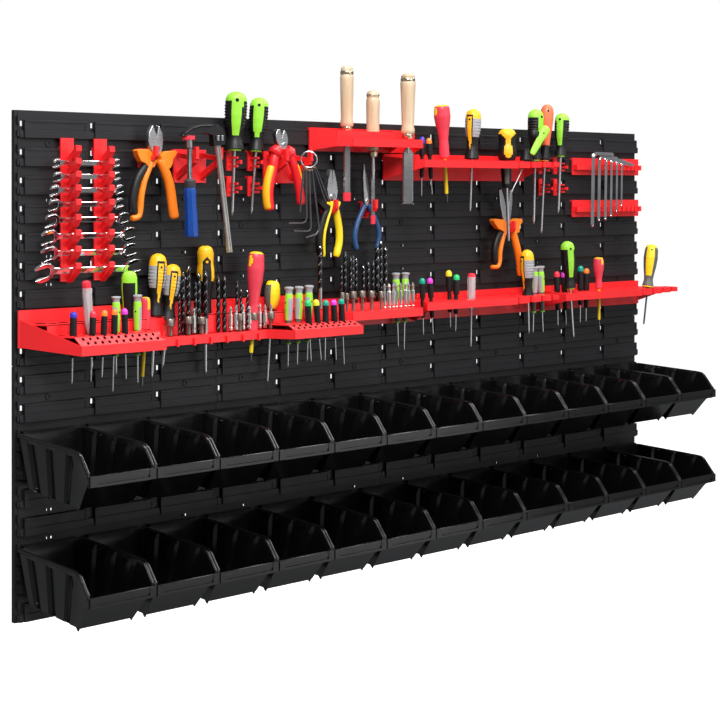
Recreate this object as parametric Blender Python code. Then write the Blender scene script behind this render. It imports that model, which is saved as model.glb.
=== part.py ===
"""Modular tool wall: eight louvred plastic panels, two rows of hook-on bins,
red clip-on tool holders, and the free tools that set its overall height.

Frame: metres, +Z up, +X right, the wall's front faces -Y. The origin is the
point on the wall's back plane where the four middle panels meet.
All helper dimensions below are in millimetres."""

import math

import bmesh
import bpy
from mathutils import Matrix, Vector

for old in list(bpy.data.objects):
    bpy.data.objects.remove(old, do_unlink=True)

MM = 0.001

# ---------------------------------------------------------------- dimensions
PANEL_W = 386.0          # panel module width
PANEL_H = 390.0          # panel module height
PANEL_GAP = 0.4          # gap between neighbouring panels
COLUMNS, ROWS = 4, 2
SLATS = 9                # louvre slats per panel
PITCH = PANEL_H / SLATS  # 43.33 mm slat pitch
WALL_L = -COLUMNS * PANEL_W / 2
FRONT = -9.6             # plain front face of a panel
BACKFACE = -6.6          # rear of the slat skin
LIP_IN = -12.7           # rear face of the hook lip
LIP_OUT = -14.9          # upper front face of the lip
LIP_LOW = -16.0          # lower, prouder face of the lip
LIP_DROP = 14.5          # lip top below the slat's top
CHANNEL = 27.5           # floor of the hook channel below the slat's top
RIM = 4.0                # panel edge rim thickness
SCREW_X = 133.0          # wall screw holes, either side of a panel's middle
SCREW_ROWS = (1, 7)      # slat rows that hold them
SCREW_DROP = 7.2         # hole centre below the slat's top
SCREW_R = 2.6
BIN_COUNT = 13           # bins along each row
BIN_PITCH = COLUMNS * PANEL_W / BIN_COUNT
BIN_HALF = 59.0          # half width over the bin's rim
SEAT = LIP_LOW - 0.4     # rear face of everything that sits on the lips
PLATE = 3.0              # wall thickness of the red holders' back plates
BLADE = (-12.35, -9.95)  # hook blade inside the channel (Y range)


def lip_top(row):
    """Height of the hook lip of slat row 0..17, counted from the top."""
    return ROWS * PANEL_H / 2 - PITCH * row - LIP_DROP


# ------------------------------------------------------------------ materials
def material(name, colour, rough, metal=0.0):
    mat = bpy.data.materials.new(name)
    mat.use_nodes = True
    shader = mat.node_tree.nodes["Principled BSDF"]
    shader.inputs["Base Color"].default_value = (*colour, 1)
    shader.inputs["Roughness"].default_value = rough
    shader.inputs["Metallic"].default_value = metal
    mat.diffuse_color = (*colour, 1)
    return mat


PANEL_MAT = material("charcoal_plastic", (0.035, 0.034, 0.038), 0.5)
BIN_MAT = material("black_bin_plastic", (0.008, 0.008, 0.009), 0.25)
RED_MAT = material("red_plastic", (0.75, 0.02, 0.025), 0.38)
WOOD_MAT = material("chisel_handle_wood", (0.62, 0.40, 0.20), 0.5)


# -------------------------------------------------------------- shape helpers
def mesh_object(name, verts, faces):
    """A closed mesh object from points in millimetres."""
    mesh = bpy.data.meshes.new(name)
    mesh.from_pydata([(x * MM, y * MM, z * MM) for x, y, z in verts], [], faces)
    bm = bmesh.new()
    bm.from_mesh(mesh)
    bmesh.ops.recalc_face_normals(bm, faces=bm.faces)
    if bm.calc_volume(signed=True) < 0:
        bmesh.ops.reverse_faces(bm, faces=bm.faces)
    bm.to_mesh(mesh)
    bm.free()
    obj = bpy.data.objects.new(name, mesh)
    bpy.context.scene.collection.objects.link(obj)
    return obj


def loft(name, rings):
    """Closed shell through rings of equal point counts, capped at both ends."""
    n = len(rings[0])
    verts = [p for ring in rings for p in ring]
    faces = []
    for k in range(len(rings) - 1):
        a, b = k * n, (k + 1) * n
        for i in range(n):
            j = (i + 1) % n
            faces.append((a + i, a + j, b + j, b + i))
    faces.append(tuple(range(n)))
    faces.append(tuple((len(rings) - 1) * n + i for i in reversed(range(n))))
    return mesh_object(name, verts, faces)


def prism(points, axis, low, high):
    """Extrusion of a closed 2-D outline along X (y, z), Y (x, z) or Z (x, y)."""
    place = {
        "X": lambda p, t: (t, p[0], p[1]),
        "Y": lambda p, t: (p[0], t, p[1]),
        "Z": lambda p, t: (p[0], p[1], t),
    }[axis]
    return loft("prism", [[place(p, low) for p in points], [place(p, high) for p in points]])


def box(x0, x1, y0, y1, z0, z1):
    x0, x1 = sorted((x0, x1))
    y0, y1 = sorted((y0, y1))
    return prism([(x0, y0), (x1, y0), (x1, y1), (x0, y1)], "Z", min(z0, z1), max(z0, z1))


def wall(p, q, thick, z_p, z_q):
    """Upright plate from plan point p to q; z_p and z_q are its (low, high)
    heights at each end."""
    d = Vector((q[0] - p[0], q[1] - p[1]))
    n = Vector((-d.y, d.x)).normalized() * thick / 2
    corners = [
        ((p[0] + n.x, p[1] + n.y), z_p),
        ((q[0] + n.x, q[1] + n.y), z_q),
        ((q[0] - n.x, q[1] - n.y), z_q),
        ((p[0] - n.x, p[1] - n.y), z_p),
    ]
    low = [(c[0], c[1], z[0]) for c, z in corners]
    high = [(c[0], c[1], z[1]) for c, z in corners]
    return loft("wall", [low, high])


def lathe(profile, x, y, sides=12):
    """Turned body on a vertical axis; profile is (radius, z), bottom to top."""
    rings = []
    for radius, z in profile:
        rings.append(
            [
                (
                    x + radius * math.cos(2 * math.pi * i / sides),
                    y + radius * math.sin(2 * math.pi * i / sides),
                    z,
                )
                for i in range(sides)
            ]
        )
    return loft("lathe", rings)


def hole(x, y, radius, z0, z1, sides=8):
    return lathe([(radius, z0), (radius, z1)], x, y, sides)


def combine(name, mat, parts, cuts=()):
    """One solid from overlapping parts, less the cutters."""
    base = parts[0]
    for other in parts[1:]:
        mod = base.modifiers.new("join", "BOOLEAN")
        mod.operation, mod.object, mod.solver = "UNION", other, "EXACT"
    for other in cuts:
        mod = base.modifiers.new("cut", "BOOLEAN")
        mod.operation, mod.object, mod.solver = "DIFFERENCE", other, "EXACT"
    graph = bpy.context.evaluated_depsgraph_get()
    mesh = bpy.data.meshes.new_from_object(base.evaluated_get(graph))
    for helper in list(parts) + list(cuts):
        bpy.data.objects.remove(helper, do_unlink=True)
    bm = bmesh.new()
    bm.from_mesh(mesh)
    bmesh.ops.remove_doubles(bm, verts=bm.verts, dist=1e-6)
    bmesh.ops.dissolve_limit(bm, angle_limit=0.002, verts=bm.verts, edges=bm.edges)
    bmesh.ops.triangulate(bm, faces=bm.faces)
    bm.to_mesh(mesh)
    bm.free()
    return publish(name, mesh, mat)


def publish(name, mesh, mat, location=(0, 0, 0)):
    if not mesh.materials:
        mesh.materials.append(mat)
    obj = bpy.data.objects.new(name, mesh)
    obj.location = Vector(location) * MM
    bpy.context.scene.collection.objects.link(obj)
    return obj


def hook_tab(x0, x1, row):
    """Arm over the lip of a slat row and blade down its channel."""
    top = lip_top(row)
    profile = [
        (SEAT - 1.5, top + 0.4),
        (BLADE[0], top + 0.4),
        (BLADE[0], top - 9.0),
        (BLADE[1], top - 9.0),
        (BLADE[1], top + 2.8),
        (SEAT - 1.5, top + 2.8),
    ]
    return prism(profile, "X", x0, x1)


# -------------------------------------------------------------------- panels
def slat_outline():
    """Section of a whole panel (y, z), front going down, rear coming up."""
    points = []
    for k in range(SLATS):
        t = PANEL_H / 2 - PANEL_GAP / 2 if k == 0 else PANEL_H / 2 - k * PITCH
        t0 = PANEL_H / 2 - k * PITCH
        points += [
            (FRONT, t),
            (FRONT, t0 - CHANNEL),
            (LIP_IN, t0 - CHANNEL),
            (LIP_IN, t0 - LIP_DROP),
            (LIP_OUT, t0 - LIP_DROP),
            (LIP_OUT, t0 - 29.2),
            (LIP_LOW, t0 - 30.4),
            (LIP_LOW, t0 - 42.4),
        ]
    bottom = -PANEL_H / 2 + PANEL_GAP / 2
    points += [(FRONT, bottom), (BACKFACE, bottom)]
    points += [(BACKFACE, PANEL_H / 2 - PANEL_GAP / 2)]
    return points


def panel_mesh():
    w = (PANEL_W - PANEL_GAP) / 2
    h = (PANEL_H - PANEL_GAP) / 2
    skin = prism(slat_outline(), "X", -w, w)
    rear = BACKFACE - 1.0
    parts = [skin]
    # edge rim and rear ribs, which stand on the mounting surface
    parts.append(box(-w, -w + RIM, rear, 0, -h, h))
    parts.append(box(w - RIM, w, rear, 0, -h, h))
    parts.append(box(-w + 1, w - 1, rear, 0, h - RIM, h))
    parts.append(box(-w + 1, w - 1, rear, 0, -h, -h + RIM))
    for x in (-w / 3, w / 3):
        parts.append(box(x - 1.5, x + 1.5, rear, -0.5, -h + 1, h - 1))
    cuts = []
    for x in (-SCREW_X, SCREW_X):
        for row in SCREW_ROWS:
            z = PANEL_H / 2 - PITCH * row - SCREW_DROP
            angles = [math.radians(45 * i + 22.5) for i in range(8)]
            ring = [(x + SCREW_R * math.cos(a), z + SCREW_R * math.sin(a)) for a in angles]
            cuts.append(prism(ring, "Y", FRONT - 2, BACKFACE + 2))
    obj = combine("panel_master", PANEL_MAT, parts, cuts)
    mesh = obj.data
    bpy.data.objects.remove(obj, do_unlink=True)
    return mesh


PANEL_MESH = panel_mesh()
for row, label in ((0, "top"), (1, "bottom")):
    for col in range(COLUMNS):
        x = WALL_L + PANEL_W * (col + 0.5)
        z = PANEL_H / 2 - PANEL_H * row
        publish(f"panel_{label}_{col + 1}", PANEL_MESH, PANEL_MAT, (x, 0, z))

# ---------------------------------------------------------------------- bins
# Bin section, local frame: y forward from the rim's rear edge, z up.
RIM_REAR = (0.0, 0.0)
RIM_FRONT = (155.0, -5.5)
RIM_CORNER = (167.5, -10.5)
LIP_TOP = (190.0, -38.6)
LIP_BASE = (190.0, -54.0)
FLOOR_FRONT = (148.5, -92.0)
FLOOR_REAR = (12.0, -83.5)
BIN_TAPER = 11.0
BIN_WALL = 2.2


def bin_ring(half, rear, side, corner, front, front_half=None):
    front_half = half if front_half is None else front_half
    left = [(rear, -half), (side, -half), (corner, -half), (front, -front_half)]
    ring = [(s, -p[0], p[1]) for p, s in left]
    ring += [(-s, -p[0], p[1]) for p, s in reversed(left)]
    return ring


def bin_mesh():
    w = BIN_HALF
    low = w - BIN_TAPER
    rings = [
        bin_ring(low, FLOOR_REAR, (112, -89.7), (138, -91.4), FLOOR_FRONT),
        bin_ring(w - 2.6, (1.8, -5.0), (154, -11.2), (164.5, -15.9), (188.0, -54.6)),
        bin_ring(w, (0.2, -5.0), (154.5, -10.6), (165.9, -15.3), LIP_BASE),
        bin_ring(w, RIM_REAR, RIM_FRONT, RIM_CORNER, LIP_TOP),
        bin_ring(w - 4.6, (3.6, -0.1), (154.0, -5.6), (165.8, -10.7), (186.6, -38.6)),
        bin_ring(low - 1.6, (14.6, -81.1), (112, -87.3), (137, -89.0), (146.5, -89.5)),
    ]
    body = loft("bin", rings)
    top = 2.8
    # hook rail on the bin's rear edge: arm over the lip, blade in its channel
    rail = [
        (-2.2, top - 2.4),
        (-2.2, top),
        (-BIN_HOOK_OUT, top),
        (-BIN_HOOK_OUT, top - 11.8),
        (-BIN_HOOK_IN, top - 11.8),
        (-BIN_HOOK_IN, top - 2.4),
    ]
    spine = [(-2.6, -3.6), (-2.6, 2.8), (0.6, 2.8), (0.6, -3.6)]
    parts = [body]
    parts.append(prism([(-y, z) for y, z in spine], "X", -50, 50))
    parts.append(prism([(-y, z) for y, z in rail], "X", -48, 48))
    obj = combine("bin_master", BIN_MAT, parts)
    mesh = obj.data
    bpy.data.objects.remove(obj, do_unlink=True)
    return mesh


BIN_Y = -19.4            # world Y of the rim's rear edge
BIN_HOOK_OUT = -(BLADE[1] - BIN_Y) * -1
BIN_HOOK_IN = -(BLADE[0] - BIN_Y) * -1
BIN_MESH = bin_mesh()
for label, row in (("upper", 11), ("lower", 15)):
    z = lip_top(row) + 0.4 + 2.4 - 2.8
    for k in range(BIN_COUNT):
        x = WALL_L + BIN_PITCH * (k + 0.5)
        publish(f"bin_{label}_{k + 1:02d}", BIN_MESH, BIN_MAT, (x, BIN_Y, z))


# --------------------------------------------------------------- red holders
def back_plate(x0, x1, z0, z1):
    return box(x0, x1, SEAT, SEAT - PLATE, z0, z1)


def hook_arm(x, row, reach, drop):
    """Arm with an upturned tip; a long one is an open triangle."""
    t = lip_top(row)
    if drop < 40:
        outlines = [[
            (SEAT - 1.0, t - 2.0),
            (reach + 9.0, t - 11.0),
            (reach + 7.0, t + 6.0),
            (reach, t + 6.0),
            (reach, t - 10.0),
            (reach + 4.0, t - 15.0),
            (SEAT - 1.0, t - drop + 2.0),
        ]]
    else:
        outlines = [
            [
                (SEAT - 1.0, t - 2.0),
                (reach + 9.0, t - 9.0),
                (reach + 7.0, t + 6.0),
                (reach, t + 6.0),
                (reach, t - 14.0),
                (reach + 4.0, t - 17.0),
                (reach + 12.0, t - 16.0),
                (SEAT - 1.0, t - 10.0),
            ],
            [
                (SEAT - 1.0, t - drop + 15.0),
                (reach + 12.0, t - 14.0),
                (reach + 2.0, t - 13.5),
                (reach + 4.0, t - 20.0),
                (SEAT - 1.0, t - drop + 3.0),
            ],
        ]
    return [prism(outline, "X", x - 3.0, x + 3.0) for outline in outlines]


def hook(name, xs, row, reach=-72.0, drop=52.0):
    t = lip_top(row)
    left, right = min(xs) - 9, max(xs) + 9
    parts = [
        back_plate(left, right, t - drop, t + 2.8),
        hook_tab(left + 1, right - 1, row),
    ]
    for x in xs:
        parts += hook_arm(x, row, reach, drop)
    return combine(name, RED_MAT, parts)


hook("hook_cutters", (-539,), 1, -58, 28)
hook("bracket_clamp", (-468.7, -419.0), 1)
hook("bracket_pliers", (-275.3, -220.4), 1)
hook("hook_yellow_pliers", (-140.5,), 3, -50, 28)
hook("hook_blue_pliers", (-43.5,), 3, -50, 28)
hook("hook_snips", (333.4,), 4, -50, 28)

# wrench strips: nine upswept fingers each
FINGER_TIPS = 9
FINGER_TOP = 336.0
FINGER_FIRST_STEP = 19.2
FINGER_STEP_GROWTH = 0.97


def wrench_strip(name, x0, x1):
    parts = [back_plate(x0, x1, 126.6, 348.5)]
    for row in (1, 3, 5):
        parts.append(hook_tab(x0 + 1, x1 - 1, row))
    tip, step = FINGER_TOP, FINGER_FIRST_STEP
    xm = (x0 + x1) / 2 + 5
    for _ in range(FINGER_TIPS):
        outline = [
            (SEAT - 1.0, tip - 17.0),
            (-35.0, tip - 7.0),
            (-41.0, tip + 1.0),
            (-44.5, tip - 0.5),
            (-44.5, tip - 8.0),
            (-36.0, tip - 18.0),
            (SEAT - 1.0, tip - 31.0),
        ]
        parts.append(prism(outline, "X", xm - 5, xm + 5))
        tip -= step
        step += FINGER_STEP_GROWTH
    return combine(name, RED_MAT, parts)


wrench_strip("wrench_strip_left", -695.5, -671.5)
wrench_strip("wrench_strip_right", -633.2, -609.2)


def clip(name, x, row):
    """Snap clip: two short fingers and a longer one with a knob."""
    t = lip_top(row)
    parts = [
        back_plate(x - 5, x + 5, t - 31, t + 2.8),
        hook_tab(x - 4, x + 4, row),
        box(x - 1.5, x + 2.0, SEAT - 1, -41, t - 11.5, t - 8.0),
        box(x - 1.5, x + 2.0, SEAT - 1, -41, t - 25.5, t - 22.0),
        box(x + 2.5, x + 4.9, SEAT - 1, -45, t - 19.0, t - 15.0),
        box(x + 0.5, x + 4.4, -43.0, -48, t - 20.0, t - 14.0),
    ]
    return combine(name, RED_MAT, parts)


CLIP_X = {"left": (-360.0, -314.0), "right": (447.6, 494.5)}
for side, xs in CLIP_X.items():
    number = 1
    for row in (1, 2):
        for x in xs:
            clip(f"clip_{side}_{number}", x, row)
            number += 1


def hex_key_rack(name, row, x0=549.0, x1=771.0):
    """Low rail whose ridge has nine notches, graded for nine hex keys."""
    t = lip_top(row)
    outline = [(x0 + 2, SEAT - 1.5), (x0 + 2, -30.0), (x0 + 48, -30.0), (x0 + 53, -36.0)]
    x, tooth, gap = x0 + 70.0, 13.0, 6.4
    outline.append((x, -36.0))
    while x + gap + tooth < x1 - 6:
        outline += [(x, -26.5), (x + gap, -26.5), (x + gap, -36.0)]
        x += gap + tooth
        tooth *= 0.95
        gap *= 0.93
        outline.append((x, -36.0))
    outline += [(x, SEAT - 1.5)]
    parts = [
        back_plate(x0, x1, t - 32, t + 2.8),
        hook_tab(x0 + 2, x1 - 2, row),
        prism(outline, "Z", t - 21.5, t - 11.0),
    ]
    return combine(name, RED_MAT, parts)


hex_key_rack("hex_key_rack_upper", 1)
hex_key_rack("hex_key_rack_lower", 3)


# stepped two-tier rack: back plate, splayed arms, two bars with decks
def stepped_rack(name, x0, x1, row, plate_low, bar_top, holes, notch=(), upper_right=None):
    t = lip_top(row)
    mid_y, front_y = -58.0, -83.5
    slope = 0.653
    inset_mid = slope * (-mid_y + SEAT)
    inset_front = slope * (-front_y + SEAT)
    bar = 15.0
    parts = [
        back_plate(x0, x1, plate_low, t + 2.8),
        hook_tab(x0 + 2, x1 - 2, row),
    ]
    k0, k1 = x0 + inset_mid, x1 - inset_mid
    if upper_right is not None:
        k1 = upper_right
    for side, knee in ((1, k0), (-1, k1)):
        foot = x0 + 2 if side == 1 else x1 - 2
        nose = foot + side * inset_front
        upper_foot = knee - side * (inset_mid - 2)
        parts.append(
            wall((upper_foot, SEAT - 1), (knee, mid_y - 1.3), 3, (plate_low + 1, t + 2.6), (bar_top + 0.5 - bar, bar_top + 13))
        )
        if side == 1 or upper_right is None:
            start, low = (knee - side * 1.5, mid_y + 2), bar_top + 0.2 - bar
        else:
            start, low = (foot, SEAT - 1), plate_low + 1
        parts.append(wall(start, (nose, front_y + 1.5), 3, (low, bar_top), (bar_top - bar, bar_top)))
    f0, f1 = x0 + inset_front, x1 - inset_front
    parts.append(box(k0, k1, mid_y, mid_y - 2.6, bar_top - 4.0, bar_top + 13.0))
    parts.append(box(f0, f1, front_y, front_y + 2.8, bar_top - bar + 0.1, bar_top - 0.1))
    upper_end = x1 - 4 if upper_right is None else k1 + inset_mid - 3
    deck = [(x0 + 4, SEAT - 2), (upper_end, SEAT - 2), (k1 - 1.3, mid_y - 1), (k0 + 1.3, mid_y - 1)]
    parts.append(prism(deck, "Z", bar_top + 10.0, bar_top + 12.7))
    step = [(k0 + 1.1, mid_y - 0.7), (k1 - 1.1, mid_y - 0.7), (f1 - 1, front_y + 1), (f0 + 1, front_y + 1)]
    if upper_right is not None:
        step = [(k0 + 1.1, mid_y + 8), (x1 - 30, mid_y + 8), (f1 - 1, front_y + 1), (f0 + 1, front_y + 1)]
    parts.append(prism(step, "Z", bar_top - 3.2, bar_top - 0.4))
    cuts = [hole(x, y, r, bar_top - 20, bar_top + 30, 10) for x, y, r in holes]
    cuts += [box(a, b, c, d, bar_top - 2 - 30, bar_top + 30) for a, b, c, d in notch]
    return combine(name, RED_MAT, parts, cuts)


CHISEL_1 = (-108.0, -40.0)
CHISEL_2 = (-44.5, -41.0)
CHISEL_3 = (14.5, -71.0)
stepped_rack(
    "chisel_rack", -178, 85, 0, 337, 359.7,
    [(*CHISEL_1, 8.2), (*CHISEL_2, 12.4), (-76, -40, 9.0)],
    [(CHISEL_3[0] - 10.4, CHISEL_3[0] + 10.4, -62.2, -79.6)],
    upper_right=-2.0,
)
MID_HOLES = [(-116 + 22.0 * i, -38.0, 6.0) for i in range(8)]
stepped_rack("shelf_middle", -178, 85, 7, 24, 55.0, MID_HOLES)

# driver racks: straight bar, then a comb of four lobes
RACK_FRONT = -92.0


def driver_rack(name, plate, front, row, bar_top, holes):
    """front = (left end, end of the straight bar); lobes follow to its right."""
    t = lip_top(row)
    x0, x1 = plate
    f0, f1 = front
    bar = 13.8
    lobes, x = [], f1
    for width, space in ((30.0, 7.5), (26.0, 7.5), (23.0, 7.5), (17.0, 7.5)):
        lobes.append((x + space, x + space + width))
        x = lobes[-1][1]
    comb_back = -58.0
    parts = [
        back_plate(x0, x1, t - 46, t + 2.8),
        hook_tab(x0 + 2, x1 - 2, row),
        wall((x0 + 2, SEAT - 1), (f0 + 2, RACK_FRONT + 1.2), 3, (t - 44, t - 2), (bar_top - bar, bar_top)),
        box(f0, f1, RACK_FRONT, RACK_FRONT + 2.8, bar_top - bar + 0.1, bar_top - 0.1),
    ]
    deck = [
        (x0 + 3, SEAT - 2),
        (x1 - 3, SEAT - 2),
        (x - 6, comb_back - 4),
        (f1 - 2, comb_back - 4),
        (f1 - 2, RACK_FRONT + 1),
        (f0 + 3, RACK_FRONT + 1),
    ]
    parts.append(prism(deck, "Z", bar_top - 3.2, bar_top - 0.4))
    parts.append(wall((x1 - 2, SEAT - 1), (x - 5, comb_back + 1), 3, (t - 40, bar_top - 1), (bar_top - bar + 3, bar_top - 1)))
    shrink = 0.0
    for a, b in lobes:
        shrink += 1.1
        outline = [
            (a, comb_back),
            (a, RACK_FRONT + 4),
            (a + 3.5, RACK_FRONT),
            (b - 3.5, RACK_FRONT),
            (b, RACK_FRONT + 4),
            (b, comb_back),
        ]
        parts.append(prism(outline, "Z", bar_top - bar + shrink, bar_top - 0.2))
    cuts = [hole(hx, hy, r, bar_top - 20, bar_top + 20, 8) for hx, hy, r in holes]
    return combine(name, RED_MAT, parts, cuts)


INSULATED = (130.0, -56.0)
driver_rack(
    "driver_rack_top", (4, 397), (36.2, 294.8), 1, 323.6,
    [(*INSULATED, 4.9), (70, -62, 5), (95, -62, 5), (205, -56, 6), (250, -56, 8), (330, -40, 6), (365, -40, 6)],
)
driver_rack(
    "driver_rack_middle", (91, 424), (44.5, 293.8), 7, 63.4,
    [(75, -60, 5), (110, -60, 5), (140, -60, 5), (170, -60, 5), (200, -60, 8), (250, -45, 6), (330, -40, 8), (365, -40, 6)],
)
driver_rack(
    "driver_rack_right", (432, 771), (437.5, 686.6), 7, 63.4,
    [(465, -60, 5), (500, -60, 6), (530, -60, 5), (560, -60, 5), (600, -60, 5), (650, -45, 6), (700, -40, 6), (735, -40, 8)],
)


# wide tray: two perforated wings and a set-back middle
def wide_tray(name):
    x0, x1, row = -771.0, -186.0, 7
    t = lip_top(row)
    top, bar = 33.8, 15.0
    low, high = 28.6, 85.7
    front_y, middle_y = -103.0, -62.0
    wing = ((-713.0, -554.0), (-286.0, -128.0))
    parts = [
        back_plate(x0, x1, low, high),
        hook_tab(x0 + 6, x1 - 6, row),
        wall((x0 + 2, SEAT - 1), (wing[0][0] + 1.5, front_y + 1.5), 3, (low + 1, t), (top - bar, top)),
        wall((x1 - 2, SEAT - 1), (wing[1][1] - 1.5, front_y + 1.5), 3, (low + 1, t), (top - bar, top)),
        wall((wing[0][1] - 1, front_y + 1.4), (wing[0][1] + 27, middle_y + 1), 3, (top - bar, top), (top - bar + 0.2, top - 0.2)),
        wall((wing[1][0] + 1, front_y + 1.4), (wing[1][0] - 27, middle_y + 1), 3, (top - bar, top), (top - bar + 0.2, top - 0.2)),
        box(*wing[0], front_y, front_y + 2.8, top - bar + 0.1, top - 0.1),
        box(*wing[1], front_y, front_y + 2.8, top - bar + 0.1, top - 0.1),
        box(wing[0][1] + 26, wing[1][0] - 26, middle_y, middle_y + 2.8, top - bar + 0.3, top - 0.3),
    ]
    deck = [
        (x0 + 3, SEAT - 2),
        (x1 - 3, SEAT - 2),
        (wing[1][1] - 2, front_y + 1),
        (wing[1][0] + 2, front_y + 1),
        (wing[1][0] - 26, middle_y + 1),
        (wing[0][1] + 26, middle_y + 1),
        (wing[0][1] - 2, front_y + 1),
        (wing[0][0] + 2, front_y + 1),
    ]
    parts.append(prism(deck, "Z", top - 3.2, top - 0.5))
    for i in range(6):
        x = wing[0][1] + 50 + i * 34.0
        parts.append(box(x, x + 3.0, middle_y + 1, middle_y - 4, top - bar - 1.5, top - 5))
    cuts = []
    for side, (a, b) in enumerate(wing):
        for i in range(4):
            cuts.append(hole(a + 22 + i * 38.0, -82.0, 6.0, top - 10, top + 10))
    for i in range(5):
        x = wing[0][1] + 44 + i * 38.0
        cuts.append(box(x, x + 24, -30, -50, top - 10, top + 10))
    return combine(name, RED_MAT, parts, cuts)


wide_tray("tray_left")


# --------------------------------------------------------------------- tools
def chisel(name, at, handle, ferrule_z, blade, turn):
    """handle: (radius, z) profile bottom to top; blade: widths and heights."""
    x, y = at
    body = lathe([(3.4, ferrule_z - 22), (4.2, ferrule_z - 14)] + handle, x, y, 12)
    neck_z, shoulder_z, tip_z, half, thick = blade
    outline = [
        (-3.0, neck_z),
        (3.0, neck_z),
        (half, shoulder_z),
        (half, tip_z + 4),
        (half, tip_z),
        (-half, tip_z),
        (-half, tip_z + 4),
        (-half, shoulder_z),
    ]
    flat = []
    for off, tip_lift in ((-thick / 2, 4.0), (thick / 2, 0.0)):
        ring = []
        for px, pz in outline:
            ring.append((px, off, pz + (tip_lift if pz == tip_z else 0.0)))
        flat.append(ring)
    blade_obj = loft("blade", flat)
    spin = Matrix.Translation(Vector((x, y, 0)) * MM) @ Matrix.Rotation(math.radians(turn), 4, "Z")
    blade_obj.data.transform(spin)
    obj = combine(name, WOOD_MAT, [body, blade_obj])
    return obj


chisel(
    "chisel_long", CHISEL_1,
    [(7.4, 372.9), (9.4, 373.0), (9.4, 380.5), (11.6, 381.5), (11.8, 388), (10.6, 396), (11.6, 440), (12.0, 468), (9.6, 476), (10.6, 478), (10.6, 484), (8.0, 488.4)],
    372.8, (362.0, 345.0, 249.0, 6.3, 3.6), -30,
)
chisel(
    "chisel_wide", CHISEL_3,
    [(6.6, 359.8), (9.8, 360.0), (9.8, 369.5), (12.2, 370.5), (12.6, 377), (11.0, 384), (12.6, 430), (14.0, 462), (11.5, 469), (12.2, 471), (12.2, 475), (9.0, 479.0)],
    359.6, (349.0, 335.0, 241.5, 10.4, 4.0), -36,
)

# smooth shading on turned pieces, with their real edges kept sharp
for obj in bpy.context.scene.objects:
    if obj.name.startswith(("chisel_long", "chisel_wide")):
        obj.data.shade_smooth()
        obj.data.set_sharp_from_angle(angle=math.radians(35))
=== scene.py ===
import math

import bmesh
import bpy
from mathutils import Matrix, Vector


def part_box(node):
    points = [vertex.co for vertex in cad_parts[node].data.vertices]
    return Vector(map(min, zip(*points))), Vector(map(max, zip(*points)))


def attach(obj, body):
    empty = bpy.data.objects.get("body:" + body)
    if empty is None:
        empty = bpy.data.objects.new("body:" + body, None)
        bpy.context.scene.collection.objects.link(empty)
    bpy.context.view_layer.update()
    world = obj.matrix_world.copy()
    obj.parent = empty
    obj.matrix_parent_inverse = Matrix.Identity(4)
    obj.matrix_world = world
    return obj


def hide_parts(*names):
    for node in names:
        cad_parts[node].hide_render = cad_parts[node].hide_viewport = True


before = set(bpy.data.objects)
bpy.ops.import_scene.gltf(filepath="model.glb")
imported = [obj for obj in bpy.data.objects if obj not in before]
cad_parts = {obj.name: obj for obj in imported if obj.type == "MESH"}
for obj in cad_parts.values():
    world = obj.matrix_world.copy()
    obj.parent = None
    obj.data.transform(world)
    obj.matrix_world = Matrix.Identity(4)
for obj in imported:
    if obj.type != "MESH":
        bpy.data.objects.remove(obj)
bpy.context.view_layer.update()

MM = 0.001
WALL = "wall"
FACE = math.radians(-130.0)      # the side of a tool that looks out of the wall, to its left


# ------------------------------------------------------------------ materials
def new_material(name):
    mat = bpy.data.materials.new(name)
    mat.use_nodes = True
    return mat, mat.node_tree.nodes, mat.node_tree.links, mat.node_tree.nodes["Principled BSDF"]


def noise(nodes, links, coord, scale, detail=3.0, rough=0.5, stretch=None):
    tex = nodes.new("ShaderNodeTexNoise")
    tex.inputs["Scale"].default_value = scale
    tex.inputs["Detail"].default_value = detail
    tex.inputs["Roughness"].default_value = rough
    source = coord.outputs["Object"]
    if stretch:
        mapping = nodes.new("ShaderNodeMapping")
        mapping.inputs["Scale"].default_value = stretch
        links.new(source, mapping.inputs["Vector"])
        source = mapping.outputs["Vector"]
    links.new(source, tex.inputs["Vector"])
    return tex


def ramp(nodes, links, fac, stops):
    node = nodes.new("ShaderNodeValToRGB")
    node.color_ramp.elements[0].position = stops[0][0]
    node.color_ramp.elements[0].color = (*stops[0][1], 1)
    node.color_ramp.elements[1].position = stops[-1][0]
    node.color_ramp.elements[1].color = (*stops[-1][1], 1)
    for pos, col in stops[1:-1]:
        e = node.color_ramp.elements.new(pos)
        e.color = (*col, 1)
    links.new(fac, node.inputs["Fac"])
    return node


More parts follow.
